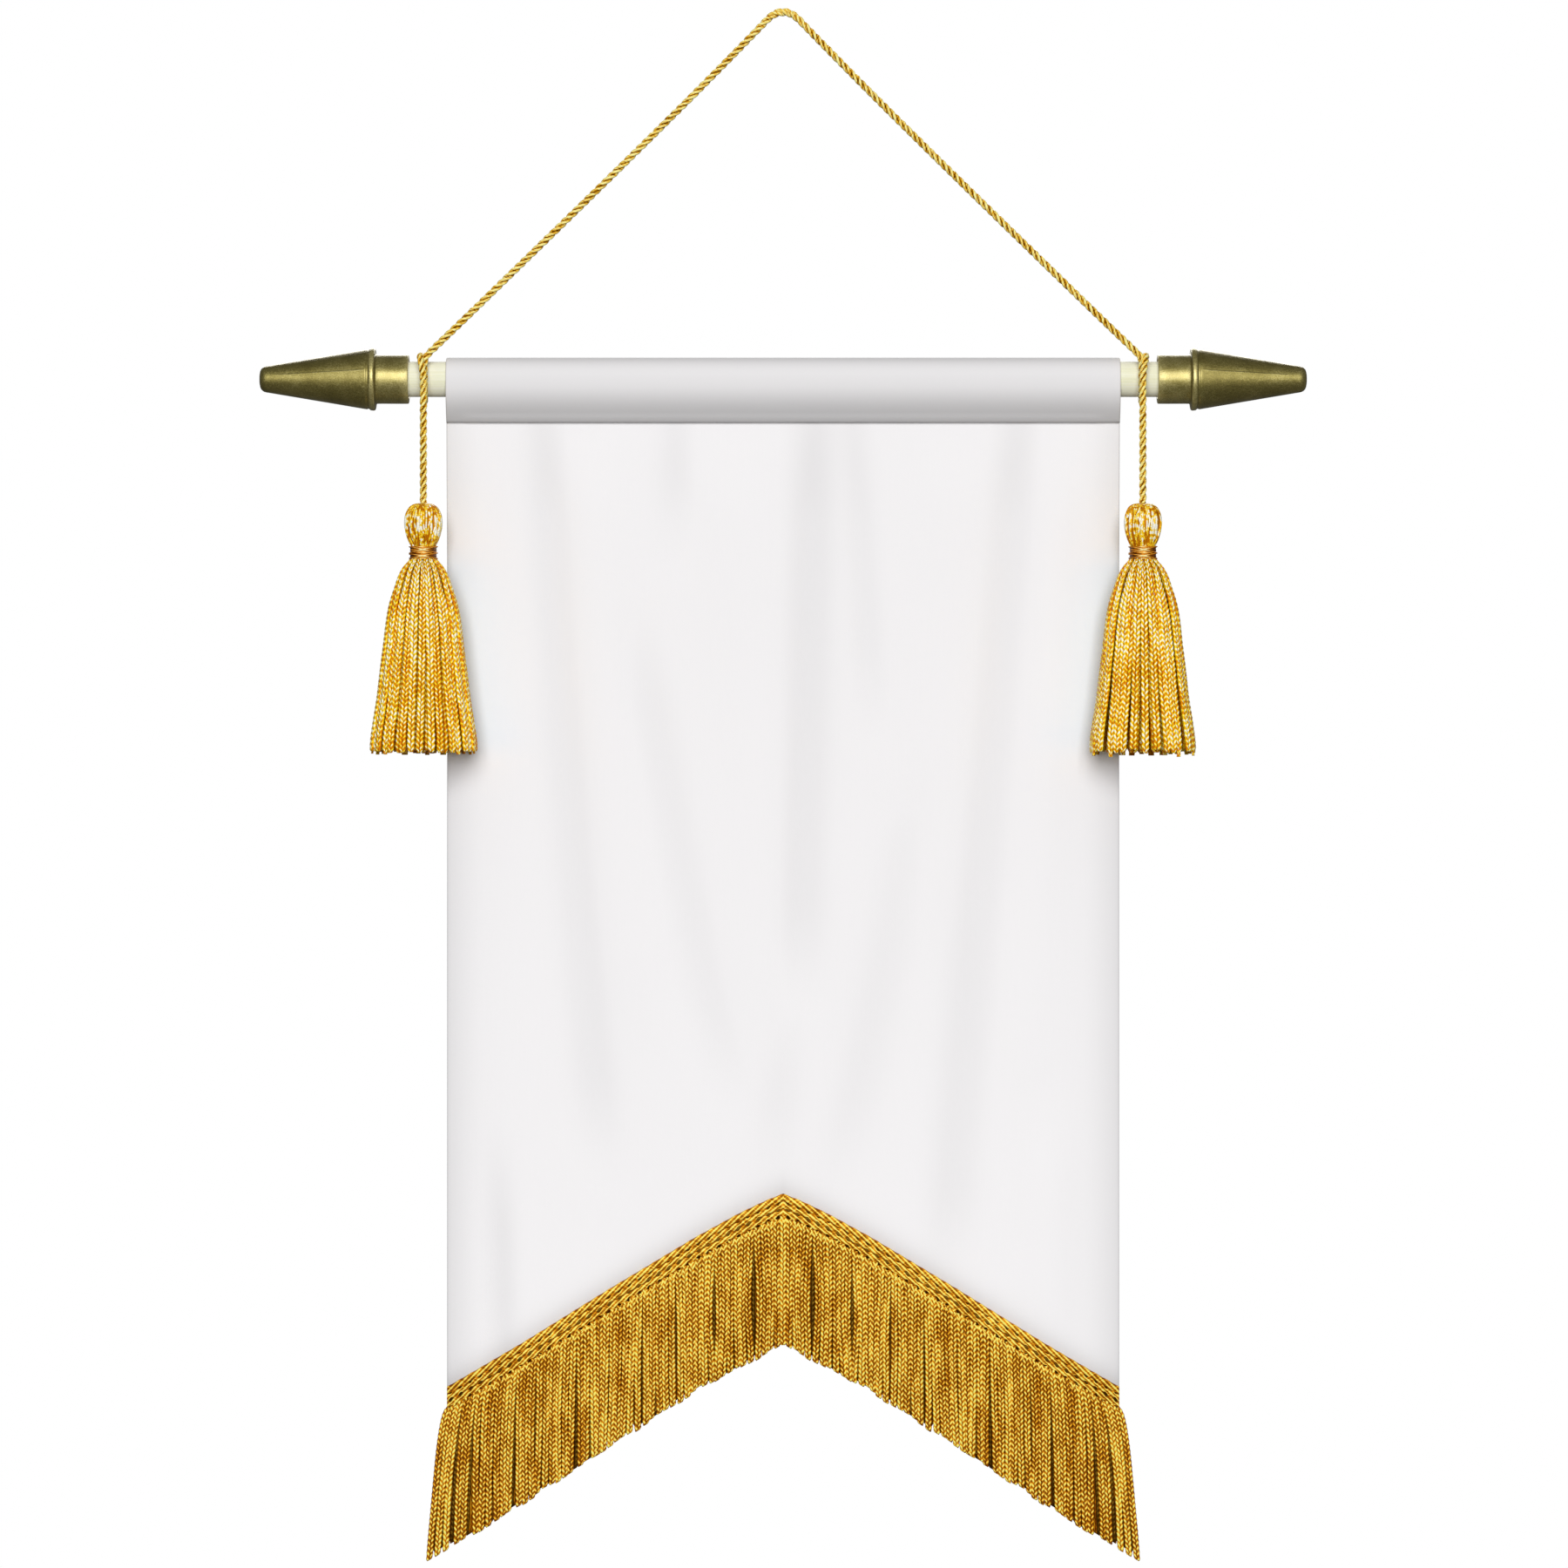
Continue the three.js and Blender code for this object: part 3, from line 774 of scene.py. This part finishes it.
def cloth():
    """One length of cloth: the flap, the sleeve round the rod, and the panel down to its notched hem."""
    inner = np.linspace(-CLOTH_HALF_WIDTH + CLOTH_BORDER, CLOTH_HALF_WIDTH - CLOTH_BORDER, CLOTH_COLUMNS)
    border = CLOTH_HALF_WIDTH - np.array(EDGE_COLUMNS)
    x = np.concatenate([-border, inner, border[::-1]])
    side = fade((np.abs(x) - (CLOTH_HALF_WIDTH - HEM_TURN)) / HEM_STEP)
    doubled = CLOTH_THICKNESS + (HEM_THICKNESS - CLOTH_THICKNESS) * side
    sleeve = sleeve_rows(doubled)
    share = np.concatenate([np.linspace(0, EVEN_ROWS_END, PANEL_ROWS), EDGE_ROWS])[:, None]
    panel_z = STITCH_Z + (hem_z(x) - STITCH_Z) * share
    panel_y = drape(x, panel_z) + doubled / 2
    middle_y = np.vstack([[row[0] for row in sleeve], panel_y])
    middle_z = np.vstack([[np.broadcast_to(row[1], x.shape) for row in sleeve], panel_z])
    middle = np.stack([np.broadcast_to(x, middle_y.shape), middle_y, middle_z], axis=-1)
    along = lengths(middle.transpose(1, 0, 2)).T
    across = np.broadcast_to(x, along.shape)
    outward = unit(np.cross(np.gradient(middle, axis=0), np.gradient(middle, axis=1)))
    flap_turn = fade((HEM_TURN / 2 - along) / HEM_STEP)
    turned = np.maximum(flap_turn, fade((HEM_TURN - (along[-1] - along)) / HEM_STEP))
    thick = np.maximum(doubled, CLOTH_THICKNESS + (HEM_THICKNESS - CLOTH_THICKNESS) * turned)
    reach = np.minimum(CLOTH_HALF_WIDTH - np.abs(across), np.minimum(along, along[-1] - along))
    rounding = 1 - np.clip(1 - reach / (HEM_THICKNESS / 2), 0, 1) ** 2
    half = thick / 2 * np.sqrt(np.maximum(rounding, 0.04))
    face = middle + outward * half[..., None]
    back = middle - outward * half[..., None]
    # Painted shade at the sleeve's ends
    ends = SLEEVE_END_SHADE * np.exp(-(((CLOTH_HALF_WIDTH - np.abs(x)) / SLEEVE_END_REACH) ** 2))
    hollow = np.vstack([np.broadcast_to(ends, (len(sleeve), len(x))), panel_shade(x, panel_z)])
    hollow = np.stack([hollow, 0 * hollow])
    # Painted cool tint beside the tassels, against the warm light they reflect
    cool = np.zeros_like(hollow)
    cool[0, len(sleeve):] = beside_tassel(x, panel_z, TASSEL_COOL_REACH)
    skin = Skin()
    skin.slab(
        face, back, hollow=hollow, cool=cool, across=np.stack([across] * 2), along=np.stack([along] * 2),
    )
    made = skin.piece("banner_sheet", cloth_finish(), ["banner_cloth"])
    cut = (along[-1].mean() * 2 * CLOTH_HALF_WIDTH, along[-1].max())
    return made, cut


# The rod and its caps

def rod():
    """The rod, from rows of radius and distance from its left end."""
    length = 2 * ROD_HALF_LENGTH
    places = np.linspace(ROD_FIRST_RING, length - ROD_FIRST_RING, ROD_RINGS)
    profile = [(ROD_RADIUS - ROD_CHAMFER, 0), (ROD_RADIUS, ROD_CHAMFER)]
    profile += [(ROD_RADIUS, place) for place in places]
    profile += [(ROD_RADIUS, length - ROD_CHAMFER), (ROD_RADIUS - ROD_CHAMFER, length)]
    profile = np.array(profile, float)
    angles = turned_angles(ROD_SIDES)
    x = np.broadcast_to(profile[:, 1:2] - ROD_HALF_LENGTH, (len(profile), ROD_SIDES))
    y = profile[:, :1] * np.cos(angles)
    z = ROD_Z + profile[:, :1] * np.sin(angles)
    skin = Skin()
    # Rim marks the rod's top and bottom for the painted light in its finish
    skin.tubes(np.stack([x, y, z], axis=-1)[None], rim=np.sin(angles) ** 2)
    skin.piece("rod", wood_finish(), ["dowel"], sharp=30)


# Radius and distance from the face of the ferrule, with the bore first
CAP_PROFILE = [
    (0.1, 15.3), (8.3, 15.3), (8.3, 0.4), (8.7, 0), (10.6, 0), (10.95, 0.12), (11.1, 0.5), (11.12, 4),
    (11.1, 8), (11.08, 12), (11.1, 14.2), (11.3, 14.7), (11.8, 14.95), (13.3, 15), (13.8, 15.15),
    (14.1, 15.5), (14.2, 16), (14.1, 17.1), (13.9, 17.6), (13.45, 17.9), (13.35, 18.3), (13.45, 18.7),
    (13.6, 19),
]
CAP_CONE_START = (13.55, 19.4)
CAP_CONE_END = (6.1, 63.6)
CAP_TIP = [(6, 64.4), (5.75, 65.4), (5.3, 66.2), (4.6, 66.9), (3.7, 67.3), (2.4, 67.55), (0.1, 67.7)]
CAP_SIDES = 84
CONE_RINGS = 26
FERRULE_LENGTH = 14.6
FERRULE_RUB = 0.45
FACE_RUB_WIDTH = 0.8
RIM_RADIUS = 14.2
RIM_RUB_WIDTH = 0.35
MOULD_LINE = math.radians(165)
MOULD_LINE_HALF = 0.014  # radians
MOULD_LINE_HEIGHT = 0.13
MOULD_LINE_COLUMNS = (-0.05, -0.022, -0.01, 0, 0.01, 0.022, 0.05)
MOULD_LINE_START = 19
MOULD_LINE_END = 62


def cap_profile():
    cone = [
        tuple(np.array(CAP_CONE_START) + (np.array(CAP_CONE_END) - CAP_CONE_START) * share)
        for share in np.linspace(0, 1, CONE_RINGS)
    ]
    return CAP_PROFILE + cone + CAP_TIP


def end_cap(name, way):
    """A cap: ferrule, rim, groove and long cone, with two fine lines left by its mould."""
    profile = np.array(cap_profile())
    fine = np.array(MOULD_LINE_COLUMNS)
    angles = turned_angles(CAP_SIDES)
    angles = np.concatenate([angles, MOULD_LINE + fine, MOULD_LINE + math.pi + fine]) % (2 * math.pi)
    angles = np.unique(angles.round(4))
    lines = (MOULD_LINE, MOULD_LINE + math.pi)
    line = sum(np.exp(-(((angles - centre) / MOULD_LINE_HALF) ** 2)) for centre in lines)
    on_cone = fade((profile[:, 1] - MOULD_LINE_START) / 2) * fade((MOULD_LINE_END - profile[:, 1]) / 6)
    radius = profile[:, :1] + MOULD_LINE_HEIGHT * on_cone[:, None] * line
    x = np.broadcast_to(way * (CAP_FACE_X + profile[:, 1:2]), radius.shape)
    y = radius * np.cos(angles)
    z = ROD_Z + radius * np.sin(angles)
    rings = np.stack([x, y, z], axis=-1)
    worn = np.exp(-(((profile[:, 0] - RIM_RADIUS) / RIM_RUB_WIDTH) ** 2))
    worn = worn + np.exp(-((profile[:, 1] / FACE_RUB_WIDTH) ** 2))
    worn = worn + FERRULE_RUB * (profile[:, 1] < FERRULE_LENGTH)
    rub = np.clip(worn[:, None] * 0.8 + 0.7 * on_cone[:, None] * line, 0, 1)
    if way < 0:
        rings, rub = rings[:, ::-1], rub[:, ::-1]
    skin = Skin()
    skin.tubes(rings[None], rub=rub[None])
    skin.piece(f"end_cap_{name}", CAP_FINISH, [f"finial_{name}"], sharp=35)


# The tassels

# Radius, nothing and height
SKIRT_PROFILE = [
    (5.7, 0, -246.6), (6.9, 0, -248.2), (8.4, 0, -249.8), (9.9, 0, -252.2), (11.3, 0, -255.3),
    (12.6, 0, -259.6), (14.4, 0, -265.5), (16, 0, -273.4), (17.4, 0, -285.2), (18.9, 0, -296.9),
    (20.3, 0, -308.7), (22.2, 0, -320.5), (23.3, 0, -328.4), (23.6, 0, -334),
]
HEAD_PROFILE = [
    (1.6, 0, -221.8), (3.8, 0, -222.1), (5.7, 0, -223.1), (6.95, 0, -224.8), (7.85, 0, -227.2),
    (8.2, 0, -230.2), (7.85, 0, -233.3), (7.1, 0, -236.3), (6, 0, -239), (5, 0, -241), (4.8, 0, -243),
    (5.5, 0, -246.4),
]


def skirt_curve():
    """The skirt's outline: shares of its length, radii, heights and the length."""
    path = smooth_path(SKIRT_PROFILE, 0.5)
    reach = lengths(path)
    return reach / reach[-1], path[:, 0], path[:, 2], reach[-1]


SKIRT_SHARES, SKIRT_RADII, SKIRT_HEIGHTS, SKIRT_LENGTH = skirt_curve()


def chained(skin, lines, across, outward, half, pitch, start, size, tones, way=1):
    """Strands like a chain of stitches: two rows of lobes that lean together as a V."""
    along = lengths(lines)[..., None]
    turns = turned_angles(STRAND_SIDES)
    for side in (-1, 1):
        centre = lines + side * half * size * across
        lean = side * np.cos(turns)
        reach = along + LOBE_LEAN * half * lean
        phase = reach / pitch + start + (side * way + 1) / 4
        radial = half * size[..., 0, None] * (1 + LOBE_SWELL * wave(phase))
        rings = centre[:, :, None] + radial[..., None] * (
            np.cos(turns)[:, None] * across[:, :, None] + np.sin(turns)[:, None] * outward[:, :, None]
        )
        # Face paints each row of lobes brighter on its outward side and darker on its inner side: painted
        # light and shade
        face = np.clip(0.3 + 0.7 * np.sin(turns), 0, 1) + 0 * radial
        thread = np.stack(np.broadcast_arrays(
            reach + 500 * start, 0.6 * np.cos(turns) + side, 0.6 * np.sin(turns),
        ), axis=-1)
        skin.tubes(rings, face=face, phase=phase, thread=thread, tone=tones + 0 * face)


def skirt_layer(skin, middle, random, count, offset, factor, sink, half, step, tone):
    """Strands side by side, mirrored left to right, each of two rows of lobes.

    Offset shifts the first one by a share of a strand, and factor is the share of the skirt's radius.
    Sink is how deep their upper part lies under others, and half is half the width of a row.
    """
    steps = round(SKIRT_LENGTH / step) + 1
    mirrored = (count // 2 - round(2 * offset) - np.arange(count)) % count
    angle = 2 * math.pi * (np.arange(count) + offset) / count
    right = np.cos(angle) > 0

    def draw(kind):
        values = random.normal(0, SKIRT_STRAY[kind], count)
        return np.where(right, values, values[mirrored])[:, None]

    way = np.where(right, 1, -1)[:, None]
    share = np.linspace(0, 1, steps)[None] * (1 + draw("length"))
    angle = angle[:, None] + way * (draw("place") + draw("turn") * share ** 2)
    radius = np.interp(share, SKIRT_SHARES, SKIRT_RADII)
    height = np.interp(share, SKIRT_SHARES, SKIRT_HEIGHTS) - np.maximum(share - 1, 0) * SKIRT_LENGTH
    radius = SKIRT_CORE + (radius - SKIRT_CORE) * factor - sink * (1 - fade(share / 0.62))
    radius = radius + draw("radius") * fade(share)
    flat = np.where(np.sin(angle) < 0, SKIRT_FRONT, SKIRT_BACK)
    flat = 1 + (flat - 1) * fade(share / 0.3)
    lines = np.stack([
        middle[0] + radius * np.cos(angle), middle[1] + radius * np.sin(angle) * flat, height,
    ], axis=-1)
    ahead = unit(np.gradient(lines, axis=1))
    across = unit(np.stack([-np.sin(angle), np.cos(angle) * flat, np.zeros_like(angle)], axis=-1))
    size = (0.55 + 0.45 * fade(share / 0.3)) * (1 - 0.4 * fade((share - 0.975) / 0.025))
    pitch = SKIRT_STITCH * (1 + draw("stitch"))[..., None]
    tones = np.clip(tone + draw("tone"), 0, 1)[..., None]
    start = draw("start")[..., None]
    outward = np.cross(ahead, across)
    chained(skin, lines, across, outward, half, pitch, start, size[..., None], tones, way[..., None])


# The layers of strands from the outside in; the inner layers' lower tones are painted shade
SKIRT_LAYERS = [
    {"count": 16, "offset": 0.5, "factor": 1, "sink": 0, "half": SKIRT_HALF, "step": 0.8, "tone": 0.6},
    {"count": 16, "offset": 0, "factor": 0.975, "sink": 1.8, "half": SKIRT_HALF, "step": 0.8, "tone": 0.5},
    {"count": 16, "offset": 0.5, "factor": 0.76, "sink": 2.5, "half": 1.1, "step": 1.6, "tone": 0.2},
    {"count": 8, "offset": 0, "factor": 0.45, "sink": 2, "half": 1.2, "step": 1.6, "tone": 0.1},
]


def skirt(name, middle, random):
    skin = Skin()
    for layer in SKIRT_LAYERS:
        skirt_layer(skin, middle, random, **layer)
    skin.piece(f"tassel_skirt_{name}", TASSEL_FINISH, [f"tassel_{name}"])


def head(name, middle, random):
    """The tassel's bulb: fine threads from the cord's end to the neck, over a core, with a painted glint
    band round its middle.
    """
    curve = smooth_path(HEAD_PROFILE, 1.0)
    skin = Skin()
    count = HEAD_THREADS
    angle = 2 * math.pi * np.arange(count)[:, None] / count
    angle = angle + random.normal(0, HEAD_STRAY["place"], (count, 1))
    share = np.linspace(0, 1, len(curve))[None]
    angle = angle + random.normal(0, HEAD_STRAY["turn"], (count, 1)) * np.sin(math.pi * share)
    ripple = np.sin(3 * math.pi * share + 6 * angle)
    angle = angle + random.normal(0, HEAD_STRAY["wave"], (count, 1)) * ripple
    radius = curve[None, :, 0] + random.normal(0, HEAD_STRAY["radius"], (count, 1))
    centre = np.stack([
        middle[0] + radius * np.cos(angle), middle[1] + radius * np.sin(angle),
        np.broadcast_to(curve[None, :, 2], radius.shape),
    ], axis=-1)
    ahead = unit(np.gradient(centre, axis=1))
    across = np.stack([-np.sin(angle), np.cos(angle), np.zeros_like(angle)], axis=-1)
    outward = np.cross(ahead, across)
    turns = turned_angles(HEAD_THREAD_SIDES)
    rings = centre[:, :, None] + HEAD_THREAD_RADIUS * (
        np.cos(turns)[:, None] * across[:, :, None] + np.sin(turns)[:, None] * outward[:, :, None]
    )
    along = lengths(centre)[..., None]
    # A painted glint band round the bulb's middle, on each thread's outer side
    band = np.exp(-(((curve[:, 2] - GLINT_Z) / GLINT_HALF) ** 2))
    face = np.clip(0.4 + 0.6 * np.sin(turns), 0, 1) * (0.3 + 0.7 * band)[None, :, None]
    face = np.broadcast_to(face, rings.shape[:-1])
    thread = np.stack(np.broadcast_arrays(
        along + random.uniform(0, 1.2, (count, 1, 1)) + 0 * turns,
        0.4 * (radius * np.cos(angle))[..., None], 0.4 * (radius * np.sin(angle))[..., None],
    ), axis=-1)
    tones = 0.5 + random.uniform(-HEAD_STRAY["tone"], HEAD_STRAY["tone"], (count, 1, 1))
    skin.tubes(rings, face=face, thread=thread, tone=tones + 0 * face)
    turns = turned_angles(HEAD_CORE_SIDES)
    core = curve[:, :1] * HEAD_CORE
    rings = np.stack([
        middle[0] + core * np.cos(turns), middle[1] - core * np.sin(turns),
        np.broadcast_to(curve[:, 2:], (len(curve), len(turns))),
    ], axis=-1)
    # The core gets a low face and tone, a painted shade that shows between the threads
    skin.tubes(rings[None], face=0.1, thread=0, tone=0.2)
    skin.piece(f"tassel_head_{name}", HEAD_FINISH, [f"tassel_{name}"])


def wound(skin, path, radius, face, tone):
    """A thread that follows a path."""
    side, up = directions(path)
    turns = turned_angles(STRAND_SIDES)
    rings = path[:, None] + radius * (
        np.cos(turns)[:, None] * side[:, None] + np.sin(turns)[:, None] * up[:, None]
    )
    along = lengths(path)[:, None]
    thread = np.stack(np.broadcast_arrays(along, np.cos(turns), np.sin(turns)), axis=-1)
    skin.tubes(rings[None], face=face, thread=thread[None], tone=tone)


def front_glow(angle, peak, half):
    """How lit a wound thread is: most at the front and the back, where its angle's cosine is near 0."""
    return (0.12 + peak * np.exp(-((np.cos(angle) / half) ** 2)))[None, :, None]


def neck(name, middle):
    """The thread wound round the neck, with its ends laid across."""
    skin = Skin()
    angle = np.linspace(0, 2 * math.pi * NECK_WINDS, WIND_STEPS * NECK_WINDS)
    height = NECK_FOOT_Z - NECK_TOP_Z + 2 * WIND_INSET
    height = NECK_TOP_Z - WIND_INSET + height * angle / angle[-1]
    radius = BAND_RADIUS - WIND_DEPTH + 0.06 * np.sin(angle * 0.37)
    path = np.stack([
        middle[0] + radius * np.cos(angle), middle[1] + radius * np.sin(angle), height,
    ], axis=-1)
    wound(skin, path, WIND_RADIUS, front_glow(angle, peak=0.43, half=0.4), tone=0.45)
    angle = np.linspace(0, 2 * math.pi, CROSSING_STEPS)
    radius = BAND_RADIUS + CROSSING_LIFT
    for lean, turn, rise in CROSSINGS:
        path = np.stack([
            middle[0] + radius * np.cos(angle), middle[1] + radius * np.sin(angle),
            (NECK_TOP_Z + NECK_FOOT_Z) / 2 + rise + lean * np.cos(angle - turn),
        ], axis=-1)
        wound(skin, path, CROSSING_RADIUS, front_glow(angle, peak=0.85, half=0.35), tone=0.7)
    skin.piece(f"tassel_neck_{name}", BAND_FINISH, [f"tassel_band_{name}"])


# The fringe

def heading():
    """Four rows of twisted yarn side by side along the hem, with small holes between them, and a tape
    behind them painted dark as shade.
    """
    x = np.linspace(-CLOTH_HALF_WIDTH, CLOTH_HALF_WIDTH, HEADING_COLUMNS)
    reach = np.abs(x)[:, None]
    turns = turned_angles(HEADING_SIDES)
    height = (HEADING_RISE + HEADING_DROP) / HEADING_ROWS
    line_z = hem_z(x) + along_table(x, HEADING_BOW)
    skin = Skin()
    for row in range(HEADING_ROWS):
        rise = HEADING_RISE - height * (row + 0.5)
        beads = row == HEADING_ROWS - 1
        pitch = BEAD_PITCH if beads else TWIST_PITCH
        lean = BEAD_LEAN if beads else TWIST_LEAN
        phase = reach / pitch + lean * np.sin(turns) + ROW_SHIFT * row
        bulge = wave(phase)
        hole = np.exp(-(((reach % HOLE_PITCH - HOLE_PITCH / 2) / HOLE_HALF) ** 2)) if row > 0 else 0
        tall = height / 2 * (ROW_OVERLAP + BULGE_HEIGHT * bulge - HOLE_DEPTH * hole)
        deep = HEADING_DEPTH / 2 * (1 + BULGE_DEPTH * bulge)
        y = heading_y(x)[:, None] - HEADING_DEPTH / 2 + deep * np.cos(turns)
        z = line_z[:, None] + rise + tall * np.sin(turns)
        rings = np.stack(np.broadcast_arrays(x[:, None], y, z), axis=-1)
        swirl = 2 * math.pi * reach / SWIRL_PITCH
        thread = np.stack(np.broadcast_arrays(
            x[:, None] + 300 * row, 1.6 * np.cos(turns + swirl), 1.6 * np.sin(turns + swirl),
        ), axis=-1)
        # Face paints each row bright at its front and back and dark where it meets the next row: painted
        # shade
        face = 0.3 + 0.7 * np.abs(np.cos(turns)) + 0 * bulge
        skin.tubes(rings[None], face=face[None], phase=phase[None], thread=thread[None], tone=0.55)
    front = heading_y(x) - HEADING_DEPTH * TAPE_PLACE
    tape = [np.stack([
        np.stack([x, front + depth, line_z + rise], axis=-1)
        for rise in (TAPE_INSET - HEADING_DROP, HEADING_RISE - TAPE_INSET)
    ]) for depth in (0, TAPE_THICKNESS)]
    # The tape behind the rows has no face, so it is painted dark as the shade seen through the holes
    skin.slab(tape[0], tape[1], face=0, phase=0, thread=0, tone=0)
    return skin.piece("fringe_heading", FRINGE_FINISH, ["fringe"])


def fringe_lines(index, pitch, depth, step, spread, open_gaps):
    """The middle lines of hanging strands, mirrored left to right. Index 0 is in the middle."""
    random = np.random.default_rng(FRINGE_SEED)
    number = np.abs(index)
    side = np.sign(index)[:, None]

    def draw(low, high):
        return random.uniform(low, high, DRAWS)[number]

    x = number * pitch
    clump = np.searchsorted(np.cumsum(random.integers(*CLUMP_SIZES, DRAWS)), number, side="right")
    middle = np.array([x[clump == one].mean() if one else 0 for one in clump])
    lean = random.normal(0, CLUMP_LEAN * open_gaps, DRAWS)[clump]
    gather = random.uniform(0, CLUMP_GATHER * open_gaps, DRAWS)[clump]
    squeeze = random.uniform(0, CLUMP_SQUEEZE * open_gaps, DRAWS)[clump] * (middle - x)
    place = random.uniform(*SQUEEZE_PLACES, DRAWS)[clump]
    flare = FRINGE_FLARE * (x / CLOTH_HALF_WIDTH) ** 5
    tip_x = x + flare + lean + gather * (middle - x) + draw(-spread, spread)
    tip_z = along_table(tip_x, FRINGE_TIPS) + TIP_WAVE * np.sin(number * 1.1)
    tip_z = tip_z + draw(-TIP_STRAY, TIP_STRAY) + REAR_SHORTER * (1 - open_gaps)
    share = np.linspace(0, 1, round(FRINGE_LENGTH / step))[None]
    x, tip_x, tip_z, flare = x[:, None], tip_x[:, None], tip_z[:, None], flare[:, None]
    start_z = hem_z(x) + along_table(x, HEADING_BOW) - 1
    sway = draw(-spread, spread)[:, None] * np.sin(math.pi * share * 1.4) * share
    sway = sway + squeeze[:, None] * np.sin(math.pi * share ** place[:, None]) ** 2
    deep = heading_y(side * x) + depth - STRAND_BELLY * np.sin(math.pi * share)
    deep = deep + draw(-STRAND_STRAY, STRAND_STRAY)[:, None] * share
    return np.stack([
        side * (x + flare * share ** 0.45 + (tip_x - x - flare) * share ** 1.25 + sway), deep,
        start_z + (tip_z - start_z) * share,
    ], axis=-1)


def fringe_strands(name, index, pitch, depth, step, spread, half, tone, way=1):
    """A piece with strands. Way is 1 where their painted bright side is the front, and -1 where it is the
    back, so that their painted dark side shows in front.
    """
    lines = fringe_lines(index, pitch, depth, step, spread, max(way, 0))
    count, steps = lines.shape[:2]
    random = np.random.default_rng(STITCH_SEED)
    start, stretch, tones = random.normal(0, 1, (3, DRAWS))[:, np.abs(index), None, None]
    start = 0.35 * start
    stitch = FRINGE_STITCH * (1 + 0.03 * stretch)
    tones = np.clip(tone + 0.3 * tones, 0, 1)
    size = 1 - 0.35 * fade((np.linspace(0, 1, steps) - 0.985) / 0.015)
    size = np.broadcast_to(size[None, :, None], (count, steps, 1))
    slant = fade((np.linspace(0, 1, steps) - 0.93) / 0.07)
    across = np.zeros_like(lines)
    across[..., 0] = way
    across[..., 2] = -TIP_SLOPE * way * np.sign(index)[:, None] * slant
    outward = np.broadcast_to((0, -1.0, 0) if way > 0 else (0, 0.6, 0), lines.shape)
    mirrored = np.where(index < 0, -1, 1)[:, None, None]
    skin = Skin()
    chained(skin, lines, across, outward, half, stitch, start, size, tones, mirrored)
    return skin.piece(name, FRINGE_FINISH, ["fringe"])


def fringe():
    last = FRINGE_STRANDS // 2
    front = {
        "pitch": FRINGE_PITCH, "depth": -1.4, "step": 0.75, "spread": 0.45,
        "half": STRAND_HALF, "tone": 0.5,
    }
    # The rear strands show their painted dark side and a lower tone to the front: painted shade in the gaps
    # between the front strands
    rear = {
        "pitch": 2 * FRINGE_PITCH, "depth": 0.2, "step": 2, "spread": 0.15,
        "half": REAR_HALF, "tone": 0.3, "way": -1,
    }
    return [
        heading(),
        fringe_strands("fringe_left", np.arange(-last, 0), **front),
        fringe_strands("fringe_right", np.arange(0, last + 1), **front),
        fringe_strands("fringe_rear", np.arange(-(last // 2), last // 2 + 1), **rear),
    ]


# The banner
camera()
cord()
floor()
surroundings()
softbox("key light", (0, -10000, 2250), width=6400, height=6000, watts=1075, colour="fffefe")
softbox("back light", (0, 2600, 900), width=2000, height=1400, watts=40, colour="ffffff")

sheet, cut = cloth()
rod()
CAP_FINISH = cap_finish()
# Each yarn's colours: painted groove shade, body, lighter yarn and painted glint
BRIGHT_STOPS = (0, 0.3, 0.64, 0.84)
TASSEL_FINISH = yarn_finish(
    "bright tassel yarn", ("d87c06", "ffd20a", "ffec40", "fffff0"), BRIGHT_STOPS,
    spark=0.3, speckle=0.6, dark=0.6,
)
HEAD_FINISH = yarn_finish(
    "tassel head thread", ("c47608", "ffc818", "ffe848", "fffff0"), BRIGHT_STOPS,
    spark=0.5, speckle=1.15, dark=0.6,
)
BAND_FINISH = yarn_finish(
    "wound neck thread", ("301604", "a85608", "f8ac28", "fff4b0"), spark=0.9, dark=0.4,
)
FRINGE_FINISH = yarn_finish("deep gold chain yarn", ("86490a", "da8610", "f8bc28", "fff87c"), spark=0.3)
for side_name, side_way in SIDES.items():
    end_cap(side_name, side_way)
    tassel_middle = (side_way * TASSEL_X, TASSEL_Y)
    tassel_random = np.random.default_rng(TASSEL_SEED + side_way)
    skirt(side_name, tassel_middle, tassel_random)
    head(side_name, tassel_middle, tassel_random)
    neck(side_name, tassel_middle)
fringe_pieces = fringe()
cut[1] * MM
cut[0] * MM * MM
